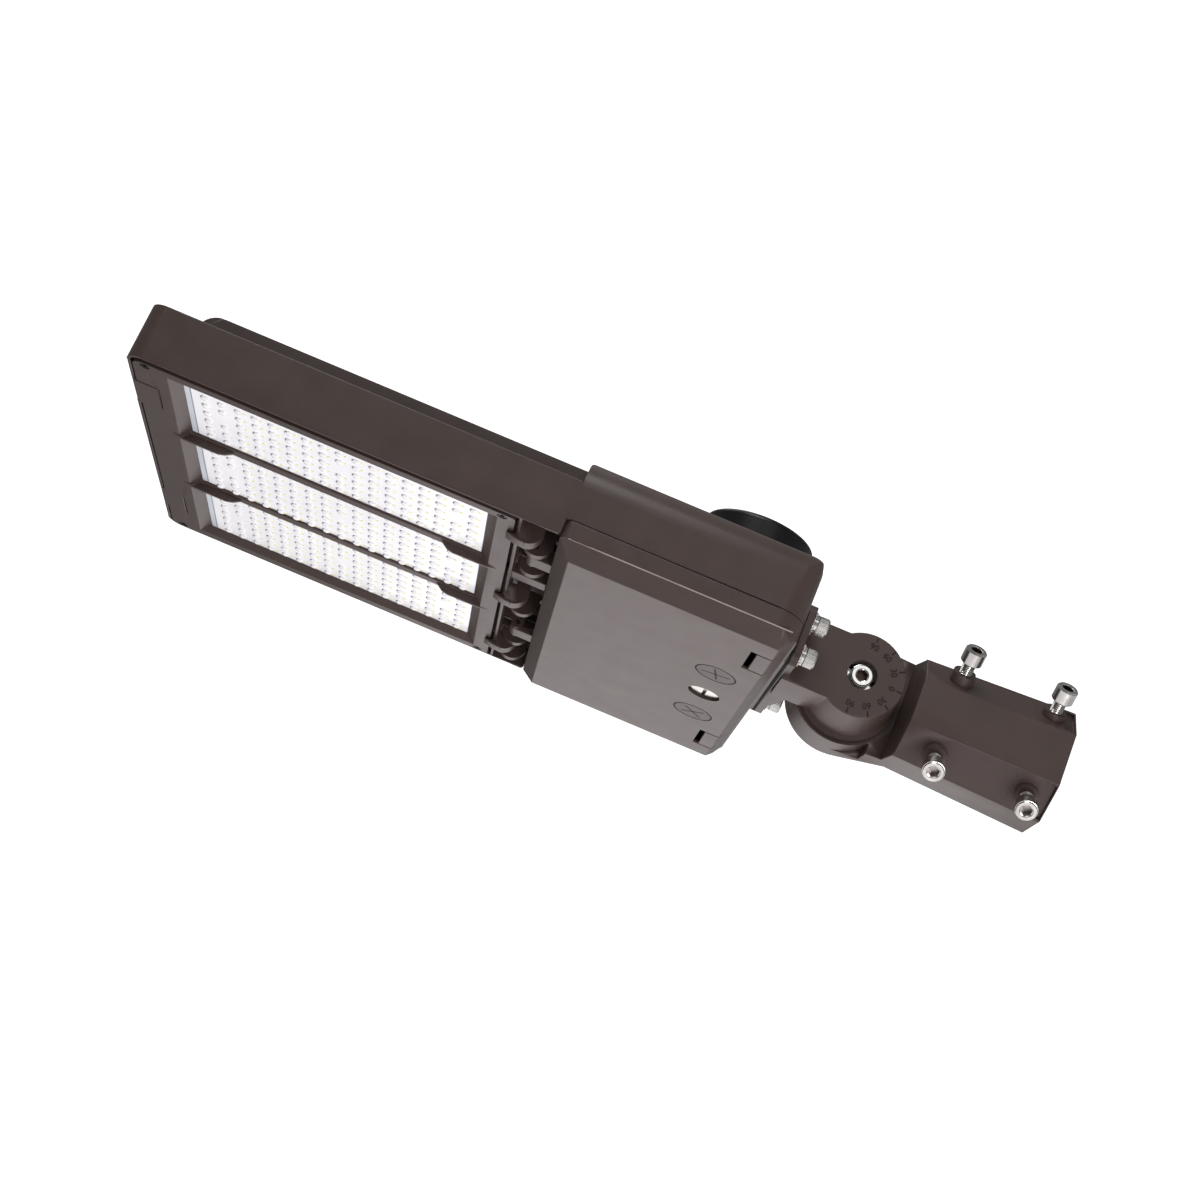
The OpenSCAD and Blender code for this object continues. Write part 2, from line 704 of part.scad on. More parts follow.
module knuckle_bracket() {
    arm_root = flange_face_x + 3;
    far_clear = yoke_r + 1;
    color(bronze) difference() {
        union() {
            along(flange_back_x, flange_face_x) flange_outline();
            block([flange_back_x + 1, -knuckle_half, -arm_half_h], [pivot_x, joint_y, arm_half_h]);
            hull() {
                block([flange_face_x - 1, -knuckle_half, -arm_half_h + 3],
                    [flange_face_x, knuckle_half + 4, arm_half_h - 3]);
                block([pivot_x - far_clear + 4, -knuckle_half + 4, -arm_half_h + 3],
                    [pivot_x - far_clear + 5, joint_y, arm_half_h - 3]);
            }
            translate([pivot_x, 0, 0]) arm_disc();
            translate([pivot_x, 0, 0]) teeth(disc_root_r - 10, disc_root_r, joint_y, tooth_h - 0.3);
        }
        rod_y(pivot_x, joint_y + tooth_h, knuckle_half + 20, 0, far_clear);
        difference() {
            rod_y(pivot_x, joint_y, joint_y + tooth_h + eps, 0, far_clear);
            rod_y(pivot_x, joint_y - 1, joint_y + 2, 0, disc_root_r);
        }
        rod_y(pivot_x, -knuckle_half - 1, joint_y + 2, 0, pivot_r + pivot_run);
        rod_y(pivot_x, -knuckle_half - 1, -knuckle_half + pivot_recess_d, 0, pivot_recess_r);
        rod_x(flange_back_x - 1, pivot_x - yoke_r + 2, wire_y, wire_up * 0.6, wire_r + 1);
        at_bolts(flange_back_x - 1) cylinder(h = flange_t + 2, r = bolt_r + 0.4);
    }
}

pivot_head_y = -knuckle_half + pivot_recess_d - pivot_washer_t;
pivot_nut_y = knuckle_half - 3 - pivot_recess_d + pivot_washer_t;

module pivot_bolt() {
    color(steel) translate([pivot_x, pivot_head_y, 0]) rotate([90, 0, 0])
        socket_screw(pivot_r, pivot_nut_y - pivot_head_y + 9, pivot_head_r, pivot_head_len, hex_key);
}

module ring_y(y0, y1, ro, ri) {
    difference() {
        rod_y(pivot_x, y0, y1, 0, ro);
        rod_y(pivot_x, y0 - 1, y1 + 1, 0, ri);
    }
}

module pivot_washers() {
    color(steel) ring_y(pivot_head_y, pivot_head_y + pivot_washer_t, pivot_recess_r - 0.5, pivot_r + 0.1);
    color(steel) ring_y(pivot_nut_y - pivot_washer_t, pivot_nut_y, pivot_recess_r - 0.5, pivot_r + 0.1);
}

module pivot_nut() {
    color(steel) difference() {
        translate([pivot_x, pivot_nut_y, 0]) rotate([-90, 0, 0]) hex_prism(2 * pivot_head_r, 7.6);
        rod_y(pivot_x, pivot_nut_y - 1, pivot_nut_y + 9, 0, pivot_r + 0.02);
    }
}

module flange_bolts() {
    color(steel) at_bolts(flange_face_x + washer_t + split_t)
        socket_screw(bolt_r, flange_t + washer_t + split_t + flange_gasket_t + 9, bolt_head_r,
            bolt_head_len, hex_key * 0.75);
}

module flange_split_washers() {
    color(steel) at_bolts(flange_face_x + washer_t) difference() {
        cylinder(h = split_t, r = bolt_head_r + 0.3);
        translate([0, 0, -1]) cylinder(h = split_t + 2, r = bolt_r + 0.25);
        translate([0, -0.6, -1]) rotate([20, 0, 0]) cube([washer_r + 2, 1.2, split_t + 3]);
    }
}

module flange_serrated_washers() {
    teeth_n = 16;
    color(steel) at_bolts(flange_face_x) difference() {
        cylinder(h = washer_t, r = washer_r);
        translate([0, 0, -1]) cylinder(h = washer_t + 2, r = bolt_r + 0.3);
        for (k = [0 : teeth_n - 1]) rotate([0, 0, 360 * k / teeth_n])
            translate([washer_r - 0.9, -0.5, -1]) cube([2, 1, washer_t + 2]);
    }
}

module flange_gasket() {
    color(rubber_black) difference() {
        along(pad_x, flange_back_x) flange_outline();
        at_bolts(pad_x - 1) cylinder(h = flange_gasket_t + 2, r = bolt_r + 0.5);
        rod_x(pad_x - 1, flange_back_x + 1, wire_y, wire_up * 0.6, wire_r + 1);
    }
}

// ---------------------------------------------------------------- housing

// Outer body of the driver compartment, grown inwards by t
module box_solid(t, z0) {
    intersection() {
        plan_prism(seam_x + t, rear_x - t, half_w - t, 0.6, rear_corner_r - t, z0, big);
        across(-half_w, half_w)
            rounded_top(seam_x + t, rear_x - t, z0, roof_z - t, max(roof_front_r - t, 0.5), roof_rear_r - t);
        along(seam_x, rear_x)
            rounded_top(-half_w + t, half_w - t, z0, roof_z - t, roof_side_r - t, roof_side_r - t);
    }
}

fin_places = [for (k = [0 : fin_count - 1]) -half_w + fin_side_gap + k * fin_pitch];
vent_rib_places = [-hinge_y - 15.5, -hinge_y + 26, 35, hinge_y + 26, half_w - 11.5];
claw_places = [34 - half_w, 3, half_w - 44];
lug_places = [for (s = [-1, 1]) for (e = [-1, 1]) [s * hinge_y, e]];
lug_t = 2.4;
swing_relief = 2.4;

// One cooling fin with a rounded head end
module fin(y) {
    x0 = head_x + fin_head_gap - fin_end_r;
    across(y - fin_t / 2, y + fin_t / 2) {
        translate([x0 + fin_end_r, plate_z + 1]) square([bay_x1 - x0 - fin_end_r + 1, fin_top_z - plate_z - 1]);
        translate([bay_x1, vent_fin_z]) square([seam_x - bay_x1 + 1, fin_top_z - vent_fin_z]);
        translate([x0, plate_z + 1]) square([fin_end_r + eps, fin_top_z - fin_end_r - plate_z - 1]);
        translate([x0 + fin_end_r, fin_top_z - fin_end_r]) circle(fin_end_r);
    }
}

// Rib across the vent with an arched lower edge
module vent_rib(y) {
    mid = (vent_x0 + seam_x) / 2;
    across(y - vent_rib_t / 2, y + vent_rib_t / 2) {
        translate([vent_x0 - 1, plate_z + 6]) square([vent_len + 2, vent_fin_z - plate_z - 5]);
        intersection() {
            translate([mid - 1, skirt_z - vent_arch_drop + vent_arch_r + 1]) circle(vent_arch_r);
            translate([vent_x0 - 1, skirt_z - 1]) square([vent_len + 1, big]);
        }
        translate([vent_x0 - 1, plate_z - 3]) square([6, 12]);
    }
}

// Claw that reaches over the bezel's rear edge
module claw(y) {
    tip_x = bezel_x1 - claw_reach;
    low_x = tip_x + 13;
    low_z = skirt_z - claw_drop;
    across(y - claw_w / 2, y + claw_w / 2) {
        intersection() {
            translate([low_x, low_z + claw_tip_r]) circle(claw_tip_r);
            union() {
                translate([tip_x, low_z - 1]) square([low_x - tip_x, face_z - 0.3 - low_z + 1]);
                translate([bay_x1, low_z - 1]) square([low_x - bay_x1, plate_z - low_z]);
            }
        }
        intersection() {
            translate([low_x, low_z + claw_rise_r]) circle(claw_rise_r);
            translate([low_x - eps, low_z - 1]) square([claw_rise_r + 1, 30]);
        }
        translate([bay_x1, plate_z + 3]) square([seam_x - bay_x1 + 1, vent_fin_z - plate_z - 2]);
    }
}

module housing_shell() {
    // Side and head walls of the LED bay, cut away where the door begins
    difference() {
        plan_prism(head_x, seam_x + 1, half_w, head_corner_r, 0.6, skirt_z, wall_top_z);
        block([seam_x - seam, -half_w - 1, skirt_z - 1], [seam_x + 2, half_w + 1, seam_z]);
        plan_prism(bay_x0, bay_x1, bay_half, head_corner_r - bay_wall, 0.6, skirt_z - 1, plate_z);
        plan_prism(bay_x0, bay_x1, bay_half, head_corner_r - bay_wall, 0.6, plate_top_z, big);
        block([vent_x0, -bay_half, skirt_z - 1], [seam_x + 2, bay_half, big]);
    }
    // Shell of the driver compartment
    difference() {
        box_solid(0, seam_z);
        box_solid(box_wall, seam_z - 1);
    }
    // Thicker rim where the door seals
    difference() {
        plan_prism(seam_x, rear_x, half_w, 0.6, rear_corner_r, seam_z, seam_z + 4);
        plan_prism(seam_x + rim_wall, rear_x - rim_wall, half_w - rim_wall, 0.6,
            rear_corner_r - rim_wall, seam_z - 1, seam_z + 5);
    }
}

module main_housing() {
    color(bronze) difference() {
        union() {
            housing_shell();
            for (y = fin_places) fin(y);
            for (y = vent_rib_places) vent_rib(y);
            for (y = claw_places) claw(y);
            // Lugs that carry the hinge pins
            for (p = lug_places) across(p[0] + p[1] * lug_mid - lug_t / 2, p[0] + p[1] * lug_mid + lug_t / 2) {
                translate([hinge_x, hinge_z]) circle(hinge_barrel_r - 0.6);
                translate([vent_x0 - 1, hinge_z]) square([hinge_x - vent_x0 + hinge_barrel_r - 0.6 + 1, 16]);
                translate([vent_x0 - 1, plate_z + 8]) square([vent_len + 2, 12]);
            }
            // Wire tunnel
            block([bay_x1, tunnel_y - tunnel_w / 2, skirt_z + 3.4],
                [seam_x - seam, tunnel_y + tunnel_w / 2, tunnel_z + tunnel_r + 2]);
            block([bay_x1, tunnel_y - tunnel_w / 2, seam_z],
                [seam_x + 1, tunnel_y + tunnel_w / 2, tunnel_z + tunnel_r + 2]);
            // Raised pad for the flange
            intersection() {
                along(rear_x - roof_rear_r * 0.5, pad_x) flange_outline();
                block([rear_x - roof_rear_r, -half_w, seam_z], [pad_x, half_w, roof_z]);
            }
            // Bosses for the flange bolts
            at_bolts(rear_x - box_wall - 8) cylinder(h = 9 + box_wall, r = bolt_r + 3.4);
            // Shelf that takes the door screw
            block([row_x - 14, -15, seam_z + 1], [rear_x - 1, 15, seam_z + 5]);
            // Posts behind the bezel's corner screws
            for (p = corner_places) translate([p[0], p[1], lens_z + 0.6])
                cylinder(h = plate_z - lens_z, r = corner_screw_r + 1.7);
        }
        // Passage of the LED lead
        rod_x(bay_x1 - 1, hinge_x, tunnel_y, lead_z, lead_r + 0.8);
        translate([hinge_x, tunnel_y, lead_z - lead_r - 0.8]) cylinder(h = tunnel_z + tunnel_r + lead_r + 0.8 - lead_z, r = tunnel_r);
        rod_x(hinge_x, seam_x + box_wall + 2, tunnel_y, tunnel_z, tunnel_r);
        // Holes: hinge pins, bolts, wires, door screw, receptacle, corner screws
        for (s = [-1, 1]) rod_y(hinge_x, s * hinge_y - 20, s * hinge_y + 20, hinge_z, hinge_pin_r + 0.02);
        at_bolts(rear_x - box_wall - 5) cylinder(h = 20, r = bolt_r + 0.02);
        rod_x(rear_x - box_wall - 1, pad_x + 1, wire_y, wire_up * 0.6, wire_r + 1);
        translate([row_x, 0, seam_z]) cylinder(h = 6, r = door_screw_r + 0.8);
        translate([cell_x, 0, roof_in_z - 1]) cylinder(h = box_wall + 2, r = barrel_r + barrel_clear);
        for (p = corner_places) translate([p[0], p[1], lens_z]) cylinder(h = plate_up - 1.9, r = corner_screw_r + 0.02);
        for (p = board_screw_places) translate([p[0], p[1], plate_z - 1])
            cylinder(h = plate_t, r = board_screw_r + 0.02);
        for (p = driver_screw_places) translate([p[0], p[1], roof_in_z - 1]) cylinder(h = 3, r = 1.52);
        // Notches for the bezel's head-end tabs
        for (s = [-1, 1]) block([head_x - 1, s * tab_y - tab_w / 2 - 0.4, skirt_z - 1],
            [bay_x0 + 1, s * tab_y + tab_w / 2 + 0.4, skirt_z + 2.6]);
        translate([ground_x, ground_y, roof_in_z - 1]) cylinder(h = 3, r = 2.02);
        // Edge turned back so that the door's front corners swing past
        for (s = [-1, 1]) translate([seam_x - seam, s * half_w, skirt_z]) rotate([0, 45, 0])
            cube([swing_relief, 8 * bay_wall, swing_relief], center = true);
    }
}

lug_mid = hinge_arm_w / 2 + hinge_side_clear + lug_t / 2;

module door_hinge_pins() {
    color(steel) for (s = [-1, 1])
        rod_y(hinge_x, s * hinge_y - lug_mid - lug_t / 2, s * hinge_y + lug_mid + lug_t / 2, hinge_z, hinge_pin_r);
}

// ---------------------------------------------------------------- bezel and optics

corner_places = [for (x = [bezel_x0 + corner_inset_x, bezel_x1 - corner_inset_x])
    for (s = [-1, 1]) [x, s * (bezel_half - corner_inset_y)]];
lens_centres = [-1, 0, 1] * (module_w + lens_gap);
board_screw_x0 = lens_x0 + board_screw_inset;
board_screw_x2 = lens_x1 - board_screw_inset_rear;
board_screw_places = [for (x = [board_screw_x0, (board_screw_x0 + board_screw_x2) / 2, board_screw_x2])
    for (y = lens_centres) [x, y]];

// Windowed opening that narrows from the face up to the lenses
module window_cut() {
    intersection() {
        across(-big, big) polygon([[window_x0, face_z], [window_x1, face_z],
            [window_x1 - slope_end, lens_z], [window_x1 - slope_end, lens_z + 1],
            [window_x0 + slope_end, lens_z + 1], [window_x0 + slope_end, lens_z]]);
        along(-big, 0) polygon([[-window_half, face_z], [window_half, face_z],
            [window_half - slope_side, lens_z], [window_half - slope_side, lens_z + 1],
            [-window_half + slope_side, lens_z + 1], [-window_half + slope_side, lens_z]]);
    }
}

// Side view of a divider: deep ends, shallow middle
module divider_outline() {
    top = lens_z;
    shallow = lens_z - divider_t;
    deep = face_z - divider_fin_proud;
    x0 = window_x0 - 5;
    x1 = window_x1 + 6;
    r = 6;
    polygon([[x0, face_z + 0.5], [x0, face_z - 0.1], [x0 + 9, deep], [x0 + divider_fin_head, deep],
        [x0 + divider_fin_head + 5, deep + 1.2], [x0 + divider_fin_head + r + 5, shallow],
        [x1 - divider_fin_rear - r - 5, shallow], [x1 - divider_fin_rear - 5, deep + 1.2],
        [x1 - divider_fin_rear, deep], [x1 - 7, deep], [x1, face_z - 0.1], [x1, face_z + 0.5],
        [x1 - 6, top], [x0 + 5, top]]);
}

module lens_bezel() {
    color(bronze) difference() {
        union() {
            difference() {
                plan_prism(bezel_x0, bezel_x1, bezel_half, head_corner_r - bay_wall - bezel_gap_end, 3, face_z, lens_z);
                window_cut();
            }
            for (s = [-1, 1]) {
                across(s * divider_y - divider_fin_t / 2, s * divider_y + divider_fin_t / 2) divider_outline();
                block([window_x0 + 2, s * divider_y - divider_w / 2, lens_z - divider_t],
                    [window_x1 - 2, s * divider_y + divider_w / 2, lens_z]);
                block([head_x + 0.4, s * tab_y - tab_w / 2, face_z + 0.6],
                    [bezel_x0 + 1, s * tab_y + tab_w / 2, face_z + 3]);
            }
        }
        for (s = [-1, 1]) block([bezel_x0 + 14.6, s * tab_y - tab_w / 2, face_z - 1],
            [bezel_x0 + 15.6, s * tab_y + tab_w / 2, face_z + 1.5]);
        for (p = corner_places) translate([p[0], p[1], face_z - 1]) cylinder(h = 20, r = corner_screw_r + 0.2);
        for (p = corner_places) translate([p[0], p[1], face_z - 1]) cylinder(h = 3.6, r = corner_head_r + 0.2);
    }
}

module bezel_corner_screws() {
    color(steel) for (p = corner_places)
        translate([p[0], p[1], face_z + 2.6]) mirror([0, 0, 1])
            difference() {
                union() {
                    translate([0, 0, -plate_up + 2.2]) cylinder(h = plate_up - 2.2, r = corner_screw_r);
                    cylinder(h = 2.2, r = corner_head_r);
                }
                translate([0, 0, 1.1]) hex_prism(3, 3);
            }
}

module lens(i) {
    y = lens_centres[i];
    color(lens_white) block([lens_x0, y - module_w / 2, lens_z], [lens_x1, y + module_w / 2, lens_top_z]);
}

module lens_near() { lens(0); }
module lens_middle() { lens(1); }
module lens_far() { lens(2); }

module lens_gasket(i) {
    y = lens_centres[i];
    g = gasket_w;
    color("#b9bcc0") difference() {
        block([lens_x0, y - module_w / 2, lens_top_z], [lens_x1, y + module_w / 2, plate_z]);
        block([lens_x0 + g, y - module_w / 2 + g, lens_top_z - 1],
            [lens_x1 - g, y + module_w / 2 - g, plate_z + 1]);
    }
}

module lens_gasket_near() { lens_gasket(0); }
module lens_gasket_middle() { lens_gasket(1); }
module lens_gasket_far() { lens_gasket(2); }

module board_screws() {
    z = plate_z - board_t;
    color(steel) for (p = board_screw_places) translate([p[0], p[1], z]) {
        cylinder(h = board_t + 2.4, r = board_screw_r);
        translate([0, 0, -1.2]) cylinder(h = 1.2, r = board_screw_head_r);
    }
}

module led_board(i) {
    y = lens_centres[i];
    g = gasket_w + board_clear;
    color("#f4f5f2") difference() {
        block([lens_x0 + g, y - module_w / 2 + g, plate_z - board_t], [lens_x1 - g, y + module_w / 2 - g, plate_z]);
        for (p = board_screw_places) if (p[1] == y)
            translate([p[0], p[1], plate_z - board_t - 1]) cylinder(h = board_t + 2, r = board_screw_r + 0.3);
    }
}

module led_board_near() { led_board(0); }
module led_board_middle() { led_board(1); }
module led_board_far() { led_board(2); }

// ---------------------------------------------------------------- driver door

// Bevelled tray shape of the door, grown inwards by t
module door_solid(t, z_top) {
    l = door_ledge;
    e = 0.6;
    bs = door_bevel_side;
    bf = door_bevel_front;
    br = door_bevel_rear;
    zf = flat_z + t;
    intersection() {
        plan_prism(seam_x + t, rear_x - t, half_w - t, max(door_front_r - t, 0.6), rear_corner_r - t, flat_z - 1, z_top);
        across(-half_w, half_w) polygon([[seam_x + t, z_top], [seam_x + t, skirt_z], [seam_x + t, skirt_z - e],
            [seam_x + bf + t, zf], [rear_x - br - t, zf], [rear_x - l - t, skirt_z - e],
            [rear_x - t, skirt_z - e], [rear_x - t, z_top]]);
        along(seam_x, rear_x) polygon([[-half_w + t, z_top], [-half_w + t, skirt_z - e],
            [-half_w + l + t, skirt_z - e], [-half_w + bs + l + t, zf], [half_w - bs - l - t, zf],
            [half_w - l - t, skirt_z - e], [half_w - t, skirt_z - e], [half_w - t, z_top]]);
    }
}

boss_top_z = flat_z + plug_face_t + plug_stem_len;

module driver_door() {
    groove_in = (rim_wall - door_gasket_w) / 2;
    color(bronze) difference() {
        union() {
            difference() {
                door_solid(0, door_top_z);
                intersection() {
                    door_solid(door_t, door_top_z + 1);
                    plan_prism(seam_x + rim_wall, rear_x - rim_wall, half_w - rim_wall, 1,
                        rear_corner_r - rim_wall, flat_z, door_top_z + 2);
                }
            }
            for (s = [-1, 1]) {
                translate([row_x, s * plug_y, flat_z + 0.5]) cylinder(h = boss_top_z - flat_z - 0.5, r = plug_r + 3.6);
                // Hinge arm and barrel
                across(s * hinge_y - hinge_arm_w / 2, s * hinge_y + hinge_arm_w / 2) {
                    translate([hinge_x, hinge_z]) circle(hinge_barrel_r);
                    translate([hinge_x, hinge_z - hinge_barrel_r]) square([hinge_ahead + 2, hinge_barrel_r * 0.9]);
                }
            }
            translate([row_x, 0, flat_z + 0.5]) cylinder(h = 9, r = screw_recess_r + 3);
        }
        // Gasket groove
        difference() {
            plan_prism(seam_x + groove_in, rear_x - groove_in, half_w - groove_in,
                door_front_r - groove_in, rear_corner_r - groove_in, door_top_z - door_groove, door_top_z + 1);
            plan_prism(seam_x + groove_in + door_gasket_w, rear_x - groove_in - door_gasket_w,
                half_w - groove_in - door_gasket_w, 1, rear_corner_r - groove_in - door_gasket_w,
                door_top_z - door_groove - 1, door_top_z + 2);
        }
        for (s = [-1, 1]) {
            rod_y(hinge_x, s * hinge_y - 20, s * hinge_y + 20, hinge_z, hinge_pin_r + hinge_run);
            translate([row_x, s * plug_y, flat_z - 1]) cylinder(h = plug_face_t + 1 + plug_clear, r = plug_r + plug_clear);
            translate([row_x, s * plug_y, flat_z - 1]) cylinder(h = 20, r = plug_stem_r + plug_clear);
            // Pocket and slits of a spring tongue
            block([rear_x - tongue_tip - tongue_pocket, s * tongue_y - tongue_w / 2, flat_z - 1],
                [rear_x - tongue_tip, s * tongue_y + tongue_w / 2, door_in_z + 1]);
            for (e = [-1, 1]) translate([0, s * tongue_y + e * (tongue_w - tongue_slit) / 2, 0])
                block([rear_x - tongue_tip - 1, -tongue_slit / 2, flat_z - 1],
                    [rear_x - tongue_tip + tongue_len, tongue_slit / 2, door_in_z + 1]);
        }
        translate([row_x, 0, flat_z - 1]) cylinder(h = screw_recess_d + 1 + door_screw_head_t, r = screw_recess_r);
        translate([row_x, 0, flat_z - 1]) cylinder(h = 20, r = door_screw_r + door_screw_run);
    }
}

module door_gasket() {
    groove_in = (rim_wall - door_gasket_w) / 2;
    g = 0.15;
    color(rubber_black) difference() {
        plan_prism(seam_x + groove_in + g, rear_x - groove_in - g, half_w - groove_in - g,
            door_front_r - groove_in - g, rear_corner_r - groove_in - g, door_top_z - door_groove, seam_z - 0.1);
        plan_prism(seam_x + groove_in + door_gasket_w - g, rear_x - groove_in - door_gasket_w + g,
            half_w - groove_in - door_gasket_w + g, 1 + g, rear_corner_r - groove_in - door_gasket_w + g,
            door_top_z - door_groove - 1, seam_z + 1);
    }
}

screw_seat_z = flat_z + screw_recess_d + door_screw_head_t;

module door_screw() {
    shank = seam_z + 4 - screw_seat_z;
    color(steel) translate([row_x, 0, screw_seat_z]) difference() {
        union() {
            translate([0, 0, -door_screw_head_t]) cylinder(h = door_screw_head_t - 0.2, r = door_screw_head_r);
            translate([0, 0, -1]) cylinder(h = shank + 1, r = door_screw_r);
        }
        translate([-door_slot_w / 2, -door_screw_head_r - 1, -door_screw_head_t - 1])
            cube([door_slot_w, 2 * door_screw_head_r + 2, 2.1]);
        // Groove for the retaining ring
        difference() {
            translate([0, 0, clip_z - screw_seat_z]) cylinder(h = 1.2, r = door_screw_r + 1);
            translate([0, 0, clip_z - screw_seat_z - 1]) cylinder(h = 4, r = door_screw_r - 0.6);
        }
    }
}

clip_z = flat_z + 9.5 + 0.3;

module door_screw_clip() {
    color(steel) translate([row_x, 0, clip_z]) difference() {
        cylinder(h = 1.1, r = door_clip_r);
        translate([0, 0, -1]) cylinder(h = 3, r = door_screw_r - 0.58);
        translate([0, -1.6, -1]) cube([door_clip_r + 1, 3.2, 3]);
    }
}

module selector_plug(s) {
    color(plastic_grey) translate([row_x, s * plug_y, flat_z]) difference() {
        union() {
            cylinder(h = plug_face_t, r = plug_r);
            cylinder(h = plug_face_t + plug_stem_len, r = plug_stem_r);
        }
        // Cross slot in the face and a hollow stem
        for (a = [0, 90]) rotate([0, 0, a + (s < 0 ? plug_turn_near : plug_turn_far)]) translate([-plug_r * 0.7, -0.6, -1]) cube([plug_r * 1.4, 1.2, 1.8]);
        translate([0, 0, plug_face_t]) cylinder(h = 20, r = plug_stem_r - 2);
    }
}

module selector_plug_near() { selector_plug(-1); }
module selector_plug_far() { selector_plug(1); }

module selector_switch(s) {
    w = selector_w / 2;
    z0 = boss_top_z;
    color("#2c2f33") difference() {
        block([row_x - w, s * plug_y - w, z0], [row_x + w, s * plug_y + w, z0 + selector_h]);
        translate([row_x, s * plug_y, z0 - 1]) cylinder(h = selector_h - 3, r = dial_r + 0.3);
    }
}

module selector_switch_near() { selector_switch(-1); }
module selector_switch_far() { selector_switch(1); }

module selector_dial(s) {
    z0 = boss_top_z + 0.6;
    color("#e8e4da") translate([row_x, s * plug_y, z0]) difference() {
        cylinder(h = selector_h - 5, r = dial_r);
        translate([-dial_r - 1, -0.7, -1]) cube([2 * dial_r + 2, 1.4, 2.4]);
    }
}

module selector_dial_near() { selector_dial(-1); }
module selector_dial_far() { selector_dial(1); }

// ---------------------------------------------------------------- photocontrol

// Arc-shaped bar about the receptacle's axis
module arc_bar(at, t, deg, h) {
    rotate([0, 0, -deg / 2]) rotate_extrude(angle = deg) translate([at - t / 2, 0]) square([t, h]);
}

module receptacle() {
    z0 = roof_z + cell_gasket_t;
    slot = blade_deg + cap_turn + 5;
    color("#26282b") translate([cell_x, 0, 0]) difference() {
        union() {
            translate([0, 0, z0]) cylinder(h = receptacle_h, r = receptacle_r);
            translate([0, 0, roof_z - barrel_depth]) cylinder(h = barrel_depth + cell_gasket_t + 1, r = barrel_r);
        }
        for (a = [0, 120, 240]) rotate([0, 0, a + cap_turn / 2]) translate([0, 0, cell_floor_z - blade_len - 1])
            arc_bar(blade_at, blade_t + 0.8, slot, 30);
        for (a = [0, 120, 240]) rotate([0, 0, a]) translate([0, 0, cell_floor_z - blade_len - 3.2])
            arc_bar(blade_at, blade_t + 0.4, blade_deg, 3);
    }
}

module receptacle_contacts() {
    color("#b58b3c") translate([cell_x, 0, 0])
        for (a = [0, 120, 240]) rotate([0, 0, a]) translate([0, 0, cell_floor_z - blade_len - 3.2])
            arc_bar(blade_at, blade_t + 0.36, blade_deg - 1, 2);
}

module receptacle_ring() {
    color("#26282b") translate([cell_x, 0, roof_in_z - 4]) difference() {
        cylinder(h = 3.8, r = barrel_r + 6);
        translate([0, 0, -1]) cylinder(h = 6, r = barrel_r + 0.03);
    }
}

module receptacle_gasket() {
    color(rubber_black) translate([cell_x, 0, roof_z]) difference() {
        cylinder(h = cell_gasket_t - 0.1, r = receptacle_r - 1);
        translate([0, 0, -1]) cylinder(h = cell_gasket_t + 2, r = barrel_r + 0.6);
    }
}

module photocontrol_cap() {
    z0 = roof_z + cell_gasket_t + 1;
    zf = cell_floor_z + 0.3;
    r = cap_r;
    e = cap_edge_r;
    w = cap_wall;
    color(cap_black) translate([cell_x, 0, 0]) difference() {
        rotate_extrude() union() {
            translate([0, z0]) square([r, cap_top_z - e - z0]);
            translate([0, z0]) square([r - e, cap_top_z - z0]);
            translate([r - e, cap_top_z - e]) circle(e);
        }
        translate([0, 0, z0 - 1]) cylinder(h = zf - z0 + 1, r = receptacle_r + 1);
        translate([0, 0, zf + w + 3]) cylinder(h = cap_top_z - zf - 2 * w - 3, r = r - w);
        // Blades pass through the floor
        for (a = [0, 120, 240]) rotate([0, 0, a]) translate([0, 0, zf - 1]) arc_bar(blade_at, blade_t, blade_deg, w + 6);
    }
}

module cap_blades() {
    zf = cell_floor_z + 0.3;
    color("#b58b3c") translate([cell_x, 0, 0]) for (a = [0, 120, 240]) rotate([0, 0, a])
        translate([0, 0, zf - blade_len]) arc_bar(blade_at, blade_t, blade_deg, blade_len + cap_wall + 2);
}

// ---------------------------------------------------------------- electrics

tunnel_z = seam_z + 11;
lead_z = plate_z - lead_r - 0.2;
driver_x0 = (seam_x + rear_x - driver_body_len) / 2 - driver_ahead;
driver_y0 = -half_w + roof_side_r + 2;
driver_screw_places = [for (x = [driver_x0 - 4, driver_x0 + driver_body_len + 4])
    for (y = [driver_y0 + 12, driver_y0 + driver_body_w - 12]) [x, y]];
surge_y0 = 62;
terminal_x0 = rear_x - terminal_to_rear;
surge_x0 = terminal_x0 - surge_to_terminal - surge_len;
terminal_y0 = 70;
ground_x = terminal_x0 + terminal_len + ground_to_terminal;
ground_y = terminal_y0 + 8;

module led_driver() {
    z1 = roof_in_z;
    ear = 9;
    color("#d9d9d6") difference() {
        union() {
            block([driver_x0, driver_y0, z1 - driver_body_h], [driver_x0 + driver_body_len, driver_y0 + driver_body_w, z1]);
            block([driver_x0 - ear + 1, driver_y0 + 4, z1 - 2],
                [driver_x0 + driver_body_len + ear - 1, driver_y0 + driver_body_w - 4, z1]);
        }
        for (p = driver_screw_places) translate([p[0], p[1], z1 - 3]) cylinder(h = 5, r = 1.9);
    }
}

module driver_screws() {
    color(steel) for (p = driver_screw_places) translate([p[0], p[1], roof_in_z - 2]) {
        cylinder(h = 3.6, r = 1.5);
        translate([0, 0, -1.8]) cylinder(h = 1.8, r = 2.8);
    }
}

module surge_protector() {
    color("#30343a") block([surge_x0, surge_y0, roof_in_z - surge_h], [surge_x0 + surge_len, surge_y0 + surge_w, roof_in_z]);
}

